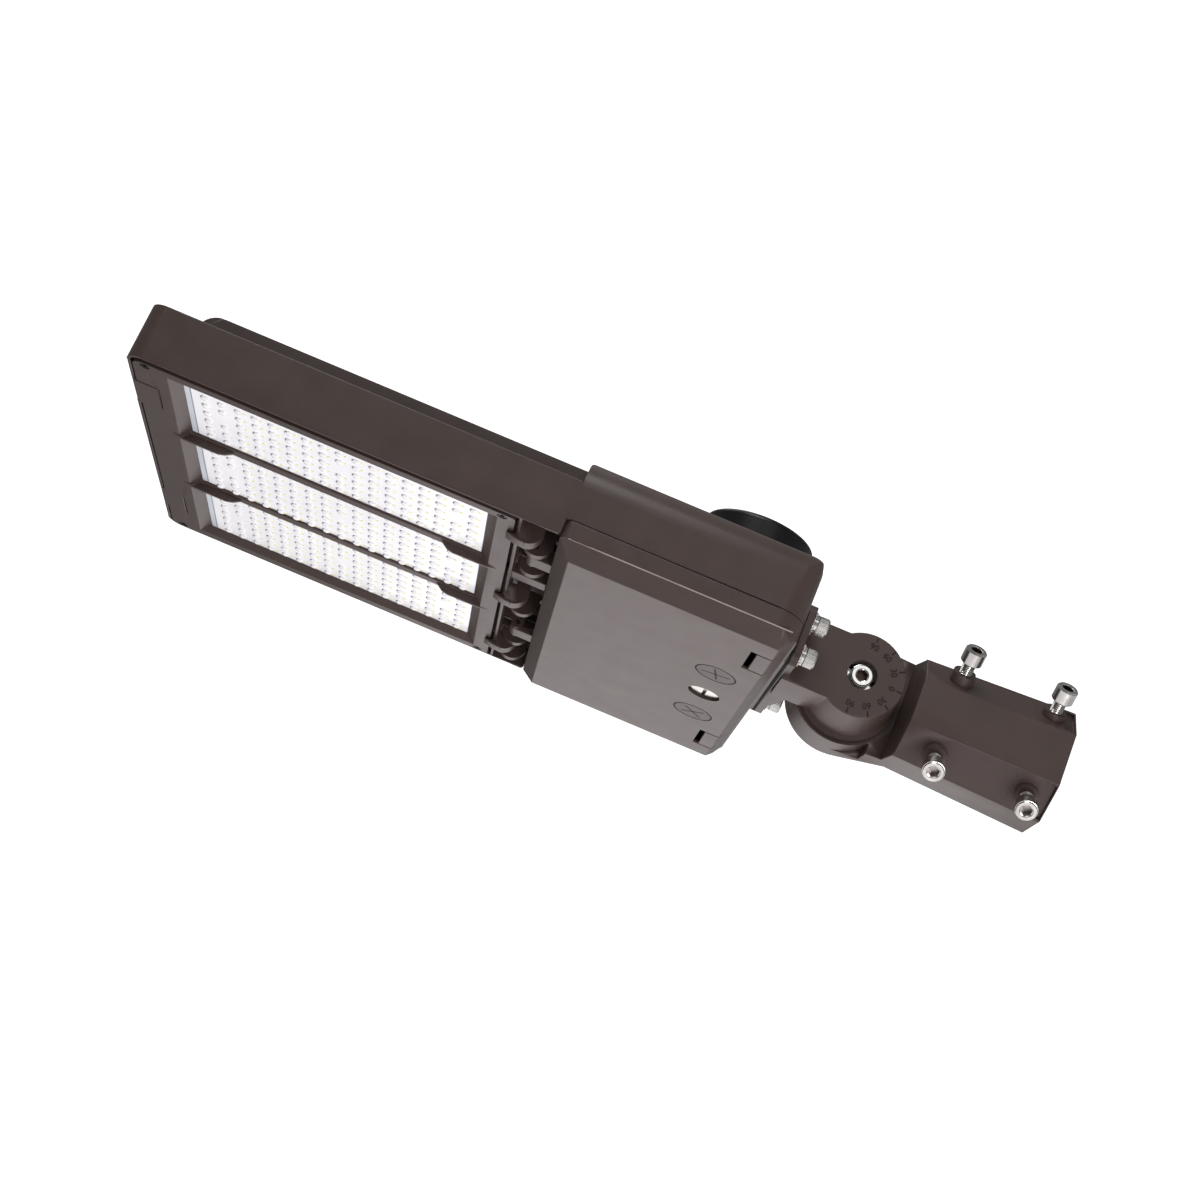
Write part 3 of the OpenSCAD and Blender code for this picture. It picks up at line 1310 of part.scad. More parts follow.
module terminal_block() {
    n = 3;
    pitch = terminal_len / n;
    color("#f0efe8") difference() {
        block([terminal_x0, terminal_y0, roof_in_z - terminal_h], [terminal_x0 + terminal_len, terminal_y0 + terminal_w, roof_in_z]);
        for (k = [0 : n - 1]) translate([terminal_x0 + (k + 0.5) * pitch, terminal_y0 + terminal_w / 2, roof_in_z - terminal_h - 1])
            cylinder(h = 5, r = 2.4);
        for (k = [0 : n - 1]) rod_y(terminal_x0 + (k + 0.5) * pitch, terminal_y0 + terminal_w - 5,
            terminal_y0 + terminal_w + 1, roof_in_z - terminal_h / 2, 2.2);
    }
}

module ground_screw() {
    color("#4c8a4a") translate([ground_x, ground_y, roof_in_z]) {
        cylinder(h = 1.8, r = 2);
        translate([0, 0, -3]) hex_prism(8, 3);
    }
}

module tunnel_grommet() {
    x0 = seam_x + box_wall;
    color(rubber_black) difference() {
        rod_x(x0, x0 + 3, tunnel_y, tunnel_z, tunnel_r + 2.4);
        rod_x(x0 - 1, x0 + 4, tunnel_y, tunnel_z, lead_r + 0.3);
    }
}

// Jacketed lead from the boards through the tunnel to the driver
module led_lead() {
    x1 = seam_x + box_wall;
    x2 = driver_x0 + lead_entry;
    y1 = driver_y0 + driver_body_w;
    z1 = tunnel_z;
    color("#1f1f1f") tube_along([[lens_x1 + 0.1, tunnel_y, lead_z], [hinge_x - 7, tunnel_y, lead_z],
        [hinge_x - 3, tunnel_y, lead_z + 0.8], [hinge_x - 0.8, tunnel_y, lead_z + 3.6],
        [hinge_x - 0.2, tunnel_y, (lead_z + z1) / 2], [hinge_x + 0.8, tunnel_y, z1 - 3],
        [hinge_x + 3, tunnel_y, z1 - 0.6], [hinge_x + 6, tunnel_y, z1], [x1 + 4, tunnel_y, z1],
        [x1 + 8, tunnel_y - 2, z1 + 0.5], [x2 - 8, y1 + 18, z1 + 6], [x2 - 2, y1 + 9, z1 + 10],
        [x2, y1 + 5, z1 + 11], [x2, y1, z1 + 11]], lead_r, 8);
}

// Jacketed lead from the terminal block to the driver
module mains_lead() {
    z = roof_in_z - terminal_h / 2;
    y0 = terminal_y0 + terminal_w / 2;
    y1 = driver_y0 + driver_body_w;
    x1 = driver_x0 + mains_entry;
    color("#2a2a2a") tube_along([[terminal_x0, y0, z], [terminal_x0 - 4, y0, z],
        [terminal_x0 - 7, y0 - 3, z], [terminal_x0 - 8, y0 - 8, z], [terminal_x0 - 8, y0 - 28, z],
        [x1 + 6, y1 + 30, z], [x1 + 1, y1 + 12, z], [x1, y1 + 5, z], [x1, y1, z]], lead_r, 8);
}

slipfitter_socket();
set_screw_upper_rear();
set_screw_upper_front();
set_screw_lower_rear();
set_screw_lower_front();
knuckle_bracket();
pivot_bolt();
pivot_washers();
pivot_nut();
flange_bolts();
flange_split_washers();
flange_serrated_washers();
flange_gasket();
main_housing();
lens_bezel();
bezel_corner_screws();
lens_near();
lens_middle();
lens_far();
lens_gasket_near();
lens_gasket_middle();
lens_gasket_far();
board_screws();
led_board_near();
led_board_middle();
led_board_far();
driver_door();
door_gasket();
door_hinge_pins();
door_screw();
door_screw_clip();
selector_plug_near();
selector_plug_far();
selector_switch_near();
selector_switch_far();
selector_dial_near();
selector_dial_far();
receptacle();
receptacle_ring();
receptacle_gasket();
receptacle_contacts();
photocontrol_cap();
cap_blades();
led_driver();
driver_screws();
surge_protector();
terminal_block();
ground_screw();
tunnel_grommet();
led_lead();
mains_lead();
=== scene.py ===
import json
import bpy
import bmesh
import numpy as np
from mathutils import Matrix, Vector

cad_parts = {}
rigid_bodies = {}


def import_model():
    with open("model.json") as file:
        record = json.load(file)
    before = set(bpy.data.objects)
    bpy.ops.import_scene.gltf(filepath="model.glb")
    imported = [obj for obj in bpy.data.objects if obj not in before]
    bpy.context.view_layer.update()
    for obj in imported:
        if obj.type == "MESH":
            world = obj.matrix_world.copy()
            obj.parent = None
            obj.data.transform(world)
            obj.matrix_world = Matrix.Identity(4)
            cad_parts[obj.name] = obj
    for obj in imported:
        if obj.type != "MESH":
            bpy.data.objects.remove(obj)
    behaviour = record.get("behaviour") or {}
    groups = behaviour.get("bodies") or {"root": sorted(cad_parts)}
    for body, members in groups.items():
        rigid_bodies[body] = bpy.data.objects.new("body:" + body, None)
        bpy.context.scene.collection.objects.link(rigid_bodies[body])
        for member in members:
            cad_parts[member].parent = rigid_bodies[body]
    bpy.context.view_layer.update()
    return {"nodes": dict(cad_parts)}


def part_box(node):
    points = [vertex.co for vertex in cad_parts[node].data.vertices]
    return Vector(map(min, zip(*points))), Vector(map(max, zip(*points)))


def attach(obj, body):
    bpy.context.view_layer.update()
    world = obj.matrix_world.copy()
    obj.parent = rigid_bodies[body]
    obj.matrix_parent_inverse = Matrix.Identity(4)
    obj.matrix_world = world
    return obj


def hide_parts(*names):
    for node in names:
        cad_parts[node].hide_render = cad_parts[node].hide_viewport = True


for stray in list(bpy.data.objects):
    bpy.data.objects.remove(stray, do_unlink=True)
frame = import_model()
scene = bpy.context.scene


# The camera stands below the near long side and looks up at the lenses and the driver door. Its
# place, turn and focal length were solved from the straight edges that the photograph shows.
scene.view_settings.view_transform = "Standard"
to_the_right = (0.92175102, -0.10862831, 0.37225655)
to_the_top = (-0.38750449, -0.29434771, 0.87361301)
to_the_back = (0.01467376, -0.94950478, -0.31340926)
stand = (-0.32440, -1.42738, -0.48181)
camera = bpy.data.objects.new("photo_camera", bpy.data.cameras.new("photo_camera"))
camera.data.lens, camera.data.sensor_width = 62.6, 36.0
camera.data.clip_start, camera.data.clip_end = 0.05, 50.0
camera.matrix_world = Matrix([(*row, place) for *row, place in
                              zip(to_the_right, to_the_top, to_the_back, stand)] + [(0, 0, 0, 1)])
scene.collection.objects.link(camera)
scene.camera = camera


# A plain studio: a round pale floor a metre below the light, a white backdrop and five soft lamps.
# The eye and glass see the backdrop white. It lights least from the camera's side, and gloss sees
# it dim, but for a brighter part low down beyond the pole end.
def linear(hexes):
    """sRGB hex to linear light: below 0.04045 a straight line, above it a power of 2.4."""
    c = np.array([int(hexes[k:k + 2], 16) for k in (1, 3, 5)]) / 255.0
    return (*np.where(c <= 0.04045, c / 12.92, ((c + 0.055) / 1.055) ** 2.4).tolist(), 1.0)


def add(tree, kind, inputs=None, links=None, **settings):
    """One shader node: settings are its own options, inputs its socket values, and links the sockets
    that feed it."""
    made = tree.nodes.new("ShaderNode" + kind)
    for key, value in settings.items():
        setattr(made, key, value)
    for key, value in (inputs or {}).items():
        made.inputs[key].default_value = value
    for key, source in (links or {}).items():
        tree.links.new(source, made.inputs[key])
    return made


world = bpy.data.worlds.new("studio")
scene.world = world
world.use_nodes = True
sky = world.node_tree
sky.nodes.clear()
toward = add(sky, "TexCoord")
split = add(sky, "SeparateXYZ", links={"Vector": toward.outputs["Generated"]})
beyond, poleward, below = (
    add(sky, "MapRange", {"From Min": dim_at, "From Max": bright_at, "To Min": least, "To Max": most},
        {"Value": split.outputs[axis]}, interpolation_type="SMOOTHSTEP").outputs["Result"]
    for axis, dim_at, bright_at, least, most in (("Y", -0.5, 0.35, 0.42, 1.25),
                                                 ("X", -0.22, 0.02, 0.0, 1.0),
                                                 ("Z", 0.45, 0.1, 0.0, 1.0)))
corner = add(sky, "Math", links={0: poleward, 1: beyond}, operation="MULTIPLY")
corner = add(sky, "Math", links={0: corner.outputs[0], 1: below}, operation="MULTIPLY")
dimmest_gloss, brightest_gloss = 0.2, 0.62
gloss_sees = add(sky, "MapRange", {"To Min": dimmest_gloss, "To Max": brightest_gloss},
                 {"Value": corner.outputs[0]})
ray = add(sky, "LightPath")
lights = add(sky, "Mix", links={"Factor": ray.outputs["Is Glossy Ray"], "A": beyond,
                                "B": gloss_sees.outputs["Result"]}, data_type="FLOAT")
clear_view = add(sky, "Math", links={0: ray.outputs["Is Camera Ray"],
                                     1: ray.outputs["Is Transmission Ray"]}, operation="MAXIMUM")
strength = add(sky, "Math", links={0: clear_view.outputs[0], 1: lights.outputs[0]}, operation="MAXIMUM")
backdrop = add(sky, "Background", {"Color": (1, 1, 1, 1)}, {"Strength": strength.outputs[0]})
add(sky, "OutputWorld", links={"Surface": backdrop.outputs[0]})

middle, white = (-0.34, 0.0, 0.0), (1.0, 1.0, 1.0)
for name, place, aim, size, watts, tint in (
        ("near_window", (-0.95, -1.5, 1.8), middle, 1.2, 32.0, white),
        ("overhead", (-1.2, 0.4, 1.9), middle, 1.4, 8.0, white),
        ("far_below", (-0.22, 1.15, -0.5), (-0.25, 0.0, 0.0), 0.8, 1.9, (1.0, 0.93, 0.94)),
        ("pole_side", (0.35, -0.8, -0.75), (-0.05, 0.0, 0.0), 0.5, 7.5, (1.0, 0.95, 0.97)),
        ("bolt_card", (0.02, -1.45, 0.5), (-0.156, 0.0, 0.0), 0.45, 0.95, white)):
    lamp = bpy.data.objects.new(name, bpy.data.lights.new(name, "AREA"))
    lamp.data.shape, lamp.data.size, lamp.data.energy, lamp.data.color = "SQUARE", size, watts, tint
    facing = (Vector(aim) - Vector(place)).to_track_quat("-Z", "Y")
    lamp.matrix_world = Matrix.Translation(place) @ facing.to_matrix().to_4x4()
    lamp.visible_camera = False
    scene.collection.objects.link(lamp)

floor_x, floor_y, floor_z, floor_r, floor_sides = middle[0], 0.3, -1.0, 1.7, 96
turn = np.linspace(0.0, 2.0 * np.pi, floor_sides, endpoint=False)
ring = np.stack([floor_x + floor_r * np.cos(turn), floor_y + floor_r * np.sin(turn), 0 * turn + floor_z], 1)
floor_mesh = bpy.data.meshes.new("studio_floor")
floor_mesh.from_pydata(ring.tolist(), [], [list(range(floor_sides))])
floor = bpy.data.objects.new("studio_floor", floor_mesh)
scene.collection.objects.link(floor)
# Matt paper scatters all that falls on it, so the floor shows a soft shadow and no gloss.
paper = bpy.data.materials.new("matt_paper")
paper.use_nodes = True
paper_bsdf = paper.node_tree.nodes["Principled BSDF"]
paper_bsdf.inputs["Base Color"].default_value = linear("#e6e3e3")
paper_bsdf.inputs["Roughness"].default_value = 0.9
floor_mesh.materials.append(paper)


# The five castings are die-cast aluminium under a dark bronze polyester powder coat. Baked powder
# flows out into a satin skin with a faint orange peel, and every cast edge keeps a small radius.
def finish(name, dark, light, rough, grain, depth, spread=0.05, **sockets):
    """A finish that varies over the piece. A slow noise, whose scale is slow times the grain's, runs
    between two colours and between rough less spread and rough plus spread. A noise with features
    grain metres across stands up as a bump depth metres high."""
    slow, all_dark, all_light, bump_strength = 0.06, 0.3, 0.7, 0.6
    material = bpy.data.materials.new(name)
    material.use_nodes = True
    tree = material.node_tree
    shader = tree.nodes["Principled BSDF"]
    for key, value in sockets.items():
        shader.inputs[key.replace("_", " ")].default_value = value
    place = add(tree, "TexCoord").outputs["Object"]
    cloud = add(tree, "TexNoise", {"Scale": slow / grain, "Detail": 3.0}, {"Vector": place})
    tint = add(tree, "ValToRGB", links={"Fac": cloud.outputs["Fac"]})
    for stop, at, colour in zip(tint.color_ramp.elements, (all_dark, all_light), (dark, light)):
        stop.position, stop.color = at, linear(colour)
    tree.links.new(tint.outputs["Color"], shader.inputs["Base Color"])
    gloss = add(tree, "MapRange", {"To Min": rough - spread, "To Max": rough + spread},
                {"Value": cloud.outputs["Fac"]})
    tree.links.new(gloss.outputs["Result"], shader.inputs["Roughness"])
    peel = add(tree, "TexNoise", {"Scale": 1.0 / grain, "Detail": 2.0}, {"Vector": place})
    bump = add(tree, "Bump", {"Strength": bump_strength, "Distance": depth},
               {"Height": peel.outputs["Fac"]})
    tree.links.new(bump.outputs["Normal"], shader.inputs["Normal"])
    return material


# Orange peel is near 1 mm across; 1.4 mm lets it just show at this distance.
bronze = finish("powder_coated_die_cast_aluminium", "#3c312e", "#403431", 0.38, 0.0014, 0.00003,
                Specular_IOR_Level=0.3)


def casting(node, body, radius, material):
    """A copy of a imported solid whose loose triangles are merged. An edge sharper than crease degrees
    and longer than shortest turns over by radius metres where each face beside it reaches back room
    times that or more: a triangle's reach is twice its area over the edge's length."""
    crease, shortest, room, weld = 30.0, 0.003, 1.5, 2e-6
    mesh = frame["nodes"][node].data.copy()
    mesh.name = node + "_cast"
    mesh.materials.clear()
    work = bmesh.new()
    work.from_mesh(mesh)
    bmesh.ops.remove_doubles(work, verts=work.verts, dist=weld)
    weight = work.edges.layers.float.new("bevel_weight_edge")
    for edge in work.edges:
        if edge.is_manifold and edge.calc_face_angle() > np.radians(crease):
            length = edge.calc_length()
            reaches = min(2 * face.calc_area() for face in edge.link_faces) > room * radius * length
            turned_over = length > shortest and reaches
            edge[weight], edge.smooth = float(turned_over), turned_over
    work.to_mesh(mesh)
    work.free()
    for extra in [a for a in mesh.attributes if a.name == "custom_normal"]:
        mesh.attributes.remove(extra)
    mesh.materials.append(material)
    mesh.polygons.foreach_set("use_smooth", np.ones(len(mesh.polygons), bool))
    obj = bpy.data.objects.new(node + "_cast", mesh)
    scene.collection.objects.link(obj)
    edge = obj.modifiers.new("cast_edge", "BEVEL")
    edge.width, edge.segments, edge.limit_method = radius, 2, "WEIGHT"
    edge.use_clamp_overlap, edge.loop_slide = False, False
    flat = obj.modifiers.new("flat_faces", "WEIGHTED_NORMAL")
    flat.weight, flat.keep_sharp = 80, True
    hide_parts(node)
    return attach(obj, body)


for node, body, radius in (("main_housing", "fixture", 0.0007), ("lens_bezel", "fixture", 0.0006),
                           ("driver_door", "door", 0.0008), ("knuckle_bracket", "fixture", 0.0008),
                           ("slipfitter_socket", "slipfitter", 0.0009)):
    casting(node, body, radius, bronze)


# The latch plate is a small flat plate in the bezel's own paint. It lies on the bezel's head end,
# near the corner, and stands half a millimetre proud of it.
def piece(name, shapes, body, material, replaces=(), crease=32.0, bevel=0.0):
    """One closed mesh from several (points in mm, faces) shapes: doubled points are merged, so poles
    and seams close, faces are turned outwards, and edges under crease degrees are smooth."""
    weld = 1e-6
    counts = np.cumsum([0] + [len(points) for points, _ in shapes])
    points = np.concatenate([points for points, _ in shapes]) * 0.001
    faces = [row for start, (_, quads) in zip(counts, shapes)
             for row in (np.asarray(quads) + start).tolist()]
    mesh = bpy.data.meshes.new(name)
    mesh.from_pydata(points.tolist(), [], faces)
    work = bmesh.new()
    work.from_mesh(mesh)
    bmesh.ops.remove_doubles(work, verts=work.verts, dist=weld)
    bmesh.ops.recalc_face_normals(work, faces=work.faces)
    work.to_mesh(mesh)
    work.free()
    mesh.materials.append(material)
    mesh.polygons.foreach_set("use_smooth", np.ones(len(mesh.polygons), bool))
    mesh.set_sharp_from_angle(angle=np.radians(crease))
    obj = bpy.data.objects.new(name, mesh)
    scene.collection.objects.link(obj)
    if bevel:
        edge = obj.modifiers.new("edge", "BEVEL")
        edge.width, edge.segments, edge.limit_method, edge.harden_normals = bevel, 2, "ANGLE", True
    if replaces:
        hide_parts(*replaces)
    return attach(obj, body)


def slab(lo, hi):
    """A closed box between two corners, as six four-sided faces: each of its eight points takes
    every coordinate from one corner or the other."""
    corners = np.array([[(lo, hi)[i][0], (lo, hi)[j][1], (lo, hi)[k][2]]
                        for k in (0, 1) for j in (0, 1) for i in (0, 1)])
    return corners, np.array([[0, 2, 3, 1], [4, 5, 7, 6], [0, 1, 5, 4],
                              [2, 6, 7, 3], [0, 4, 6, 2], [1, 3, 7, 5]])


latch_lo, latch_hi, latch_edge = (-686.0, -123.5, -35.9), (-669.6, -86.5, -35.3), 0.00015
piece("bezel_latch_plate", [slab(latch_lo, latch_hi)], "fixture", bronze, bevel=latch_edge)


# The optics are three clear acrylic plates, injection moulded with a bubble over every LED. A bubble
# is a flattened dome with a steep head-end side that throws the light along the road.
def skin(points, around=True):
    """Four-sided faces on a grid of points, rows by columns: each joins a point to the next in its
    row and to the two below them. Around joins the last column to the first."""
    rows, cols = points.shape[:2]
    i, j = np.meshgrid(np.arange(rows - 1), np.arange(cols - (not around)), indexing="ij")
    right = (j + 1) % cols
    quads = np.stack([i * cols + j, i * cols + right, (i + 1) * cols + right, (i + 1) * cols + j], -1)
    return points.reshape(-1, 3), quads.reshape(-1, 4)


def repeated(shape, places):
    """One (points, faces) shape copied to every place: each copy's points are the shape's plus the
    place's."""
    points, quads = shape
    places = np.asarray(places, float)
    moved = (points[None] + places[:, None]).reshape(-1, 3)
    starts = (np.arange(len(places)) * len(points))[:, None, None]
    return moved, (quads[None] + starts).reshape(-1, quads.shape[1])


lens_face, board_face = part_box("lens_middle")[0][2] * 1000.0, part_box("led_board_middle")[0][2] * 1000.0
plate_pitch, row_pitch, column_pitch, first_column, columns, rows = 100.4, 13.6, 12.1, -637.0, 17, 7
screw_columns = (1, 8, 15)

# The real plates are clear and show the white board behind them. Here the plate is opaque in the
# board's white under a thin gloss, and each polished bubble is a fifth clear, with small glints.
plate_acrylic = finish("acrylic_over_white_board", "#f5f6fb", "#fbfcff", 0.16, 0.004, 0.000004, 0.05,
                       IOR=1.49)
bubble_acrylic = finish("moulded_clear_acrylic", "#fafafc", "#ffffff", 0.08, 0.004, 0.000003, 0.03,
                        IOR=1.49, Transmission_Weight=0.2)
# Solder mask is cured ink, flat white with little gloss; phosphor in resin is a matt pale yellow.
solder_mask = finish("white_solder_mask", "#f2f2f1", "#f8f8f6", 0.45, 0.003, 0.000005)
phosphor = finish("yellow_phosphor", "#e9e48c", "#f3efaa", 0.55, 0.0006, 0.00001)
# The two marks round each bubble are painted shade: its steep side turns the light away and reads
# dark grey, and its shallow rim only dims the board.
painted_prism_shade = finish("painted_shade_of_total_reflection", "#34343a", "#4c4c53", 0.35, 0.0012, 0.000004)
painted_rim_shade = finish("painted_shade_of_bubble_rim", "#b4b4bb", "#c6c6cc", 0.3, 0.0012, 0.000004)

# A bubble's ring t of the way up keeps cos(t) to the power of fullness of its radius and stands
# sin(t) of its height, and its top leans towards the head end. It is made so often that it has only
# six rings of twelve points: four of the dome, its foot in the plate and the foot's middle.
bubble_r, bubble_h, fullness, lean, foot_depth = 3.1, 1.8, 0.8, 0.9, 0.3
t = np.linspace(0.0, np.pi / 2, 4)[:, None]
a = np.linspace(0.0, 2 * np.pi, 12, endpoint=False)[None]
ring_r = bubble_r * np.cos(t) ** fullness
dome = np.stack([ring_r * np.cos(a) - lean * np.sin(t), ring_r * np.sin(a),
                 -bubble_h * np.sin(t) + 0 * a], -1)
foot = dome[:1] * [1, 1, 0] + [0, 0, foot_depth]
bubble = skin(np.concatenate([foot * [0, 0, 1], foot, dome]))


def crescent(r, thick, start, stop, tall):
    """A bar bent along an arc of radius r from start to stop degrees, round the bubble's foot. Half
    its width is thick times the sine of the way along it, so it tapers to both ends. It stands base
    plus tall times that sine off the plate, and a tenth of this is sunk in it."""
    steps, base, sunk = 8, 0.1, 0.1
    way = np.linspace(0.0, 1.0, steps)[:, None]
    turn_to, half = np.radians(start + (stop - start) * way), thick * np.sin(np.pi * way)
    reach = r + half * np.array([[-1, 1, 1, -1]])
    z = np.array([[sunk, sunk, -1.0, -1.0]]) * (base + tall * np.sin(np.pi * way))
    return skin(np.stack([reach * np.cos(turn_to), reach * np.sin(turn_to), z], -1))


# These stand on the plate for what refraction shows at each bubble: a short dark dash of painted
# shade at its steep side, a faint grey arc of painted shade round the rest of its foot, and its
# LED's yellow, pushed towards the pole. The two columns nearest the head end show no yellow.
dash = crescent(r=3.0, thick=0.55, start=222.0, stop=140.0, tall=0.9)
rim_arc = crescent(r=3.2, thick=0.25, start=150.0, stop=30.0, tall=0.2)
package_half, package_h, chip_half, chip_at, chip_h, chip_sunk = 1.9, 0.5, 0.8, 3.4, 0.5, 0.1
package = slab((-package_half, -package_half, -package_h), (package_half, package_half, 0.0))
chip = slab((chip_at - chip_half, -chip_half, -chip_h), (chip_at + chip_half, chip_half, chip_sunk))
for side, centre in (("near", -plate_pitch), ("middle", 0.0), ("far", plate_pitch)):
    spots = np.array([(first_column + column_pitch * c, centre + row_pitch * r, 0.0)
                      for c in range(columns) for r in range(-(rows // 2), rows // 2 + 1)
                      if not (r == 0 and c in screw_columns)])
    on_plate = spots + [0, 0, lens_face]
    piece("lens_bubbles_" + side, [repeated(bubble, on_plate)], "fixture", bubble_acrylic, crease=80.0)
    piece("lens_dashes_" + side, [repeated(dash, on_plate)], "fixture", painted_prism_shade)
    piece("lens_rims_" + side, [repeated(rim_arc, on_plate)], "fixture", painted_rim_shade)
    piece("led_packages_" + side, [repeated(package, spots + [0, 0, board_face])], "fixture", solder_mask)
    yellow = on_plate[on_plate[:, 0] > first_column + 1.5 * column_pitch]
    piece("led_phosphor_" + side, [repeated(chip, yellow)], "fixture", phosphor)


def dress(material, *nodes):
    """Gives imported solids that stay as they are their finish."""
    for node in nodes:
        for slot in frame["nodes"][node].material_slots:
            slot.material = material


dress(plate_acrylic, "lens_near", "lens_middle", "lens_far")
dress(solder_mask, "led_board_near", "led_board_middle", "led_board_far")

# The photograph shows each plate end at the head in a greyish band with a darker line. Two thin
# strips on the plate stand for them: a flat grey-white band, and a grey line of painted shade at a step.
grey_end_band = finish("grey_band_at_plate_end", "#b6bdc6", "#ccd2da", 0.5, 0.003, 0.00001)
painted_step_shade = finish("painted_shade_of_acrylic_step", "#7f858d", "#92979e", 0.45, 0.003, 0.00001)
band_from, band_to, line_to, strip_inset, strip_sunk = -654.5, -648.2, -647.3, 1, 0.2
for side in ("near", "middle", "far"):
    (_, y0, _), (_, y1, _) = (np.array(c) * 1000.0 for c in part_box("lens_" + side))
    for name, x0, x1, proud, material in (("lens_grey_end_band_", band_from, band_to, 0.12, grey_end_band),
                                          ("lens_end_line_", band_to, line_to, 0.16, painted_step_shade)):
        strip = slab((x0, y0 + strip_inset, lens_face - proud),
                     (x1, y1 - strip_inset, lens_face + strip_sunk))
        piece(name + side, [strip], "fixture", material)

# Each plate's gasket is die-cut silicone rubber, a dull mid grey.
silicone = finish("grey_silicone_rubber", "#8f959b", "#9aa0a6", 0.6, 0.002, 0.00001)
dress(silicone, "lens_gasket_near", "lens_gasket_middle", "lens_gasket_far")


# Every screw, bolt and washer outside is stainless steel, cold headed and rolled, so it is bright
# with fine turning marks. The set screws are socket cap screws that bite on the pole.
stainless = finish("bright_stainless_steel", "#b9b8b5", "#d6d5d2", 0.2, 0.0009, 0.000006, 0.07,
                   Metallic=1.0)


def turned(profile, sides=48):
    """A surface turned about +Z: each row (r, h, kind) is one ring. A hex ring lies r / cos of the angle
    from the nearest flat's middle, and a knurled one drops by knurl mm on every other pair of points."""
    knurl = 0.16
    a = np.linspace(0.0, 2 * np.pi, sides, endpoint=False)
    rings = []
    for r, h, *kind in profile:
        reach = np.full(sides, float(r))
        if "hex" in kind:
            reach = r / np.cos((a + np.pi / 6) % (np.pi / 3) - np.pi / 6)
        if "knurl" in kind:
            reach = r - knurl * (np.arange(sides) // 2 % 2)
        rings.append(np.stack([reach * np.cos(a), reach * np.sin(a), np.full(sides, float(h))], 1))
    return skin(np.array(rings))


def threaded(r, pitch, h0, h1):
    """A screw thread about +Z: rings half a pitch apart switch between crest r and root r less groove
    pitches, and each climbs one pitch in a turn, so that the ring two further on starts where it ends."""
    sides, groove = 24, 0.61
    a = np.linspace(0.0, 1.0, sides + 1)
    level = np.arange(-2, int(2 * (h1 - h0) / pitch) + 2)[:, None]
    h = np.clip(h0 + level * pitch / 2 + a * pitch, h0, h1)
    reach = np.where(level % 2 == 0, r, r - groove * pitch) + 0 * a
    rings = np.stack([reach * np.cos(2 * np.pi * a), reach * np.sin(2 * np.pi * a), h], -1)
    return skin(np.concatenate([rings[:1] * [0, 0, 1], rings, rings[-1:] * [0, 0, 1]]), around=False)


def stood(shape, origin, axis, level=(1.0, 0.0, 0.0)):
    """A shape turned from +Z to axis and moved to origin: points times the three crossed directions,
    the second of which is square to both axis and level."""
    axis = np.array(axis, float) / np.linalg.norm(axis)
    across = np.cross(axis, level)
    across /= np.linalg.norm(across)
    return shape[0] @ np.array([np.cross(across, axis), across, axis]) + np.array(origin, float), shape[1]


def cap_screw_head(r, h0, length, key, kind="round"):
    """A socket head about +Z from h0: a barrel of radius r with turned edges, a flat top and a hexagon
    pocket, key from its middle to its flats, that goes 0.55 of the length down to a drilled bottom."""
    top, pocket_floor, drilled_to = h0 + length, 0.55 * length, 0.68 * length
    barrel = [(0, h0), (r - 0.5, h0), (r, h0 + 0.5, kind), (r, top - 1.1, kind), (r - 0.35, top - 1.0),
              (r - 0.9, top)]
    pocket = [(key + 1.0, top), (key + 0.75, top - 0.5), (key, top - 0.7, "hex"),
              (key, top - pocket_floor, "hex"), (key * 0.8, top - pocket_floor), (0, top - drilled_to)]
    return turned(barrel + pocket, 48 if kind == "round" else 168)


def key_shade(h0, length, key):
    """The shaded walls of a head's hexagon pocket: a thin hexagonal cup that lines it from its floor,
    0.45 of the length up, to lip below the top. It is bite into the wall and reaches wall off it."""
    lip, bite, wall, half_floor = 0.9, 0.05, 0.15, 0.1
    top, foot = h0 + length - lip, h0 + 0.45 * length
    return turned([(0, foot - half_floor), (key + bite, foot - half_floor, "hex"), (key + bite, top, "hex"),
                   (key - wall, top, "hex"), (key - wall, foot + half_floor, "hex"), (0, foot + half_floor)])


# Little light gets into a broached pocket, so its walls are lined with painted shade, a dark brown.
# The photograph shows the lower screws' pockets paler than the upper ones', so theirs get a paler lining of
# painted shade.
painted_pocket_shade = finish("painted_shade_in_broached_pockets", "#2a221e", "#4a3a31", 0.35, 0.0008, 0.00001,
                      Metallic=0.6)
paler_painted_pocket_shade = finish("paler_painted_shade_in_lower_pockets", "#8b8683", "#aaa6a2", 0.3, 0.0008, 0.00001,
                      Metallic=0.85)
screw_tip, screw_head_at, screw_head_h, screw_key = 33.4, 57.0, 11.0, 4.0
rear_x, front_x, upper, lower = -87.0, -17.5, 1.0, -1.0
set_screw = (threaded(r=4.8, pitch=1.5, h0=screw_tip, h1=screw_head_at + 0.2),
             cap_screw_head(r=8.0, h0=screw_head_at, length=screw_head_h, key=screw_key))
set_screw_lining = key_shade(screw_head_at, screw_head_h, screw_key)
for node, body, x, up, lining in (("set_screw_upper_rear", "set_screw_a", rear_x, upper, painted_pocket_shade),
                                  ("set_screw_upper_front", "set_screw_b", front_x, upper, painted_pocket_shade),
                                  ("set_screw_lower_rear", "set_screw_c", rear_x, lower, paler_painted_pocket_shade),
                                  ("set_screw_lower_front", "set_screw_d", front_x, lower, paler_painted_pocket_shade)):
    out, foot = (0.0, -1.0, up), (x, 0, 0)
    piece(node + "_turned", [stood(shape, foot, out) for shape in set_screw], body, stainless,
          replaces=(node,))
    piece(node + "_pocket", [stood(set_screw_lining, foot, out)], body, lining)


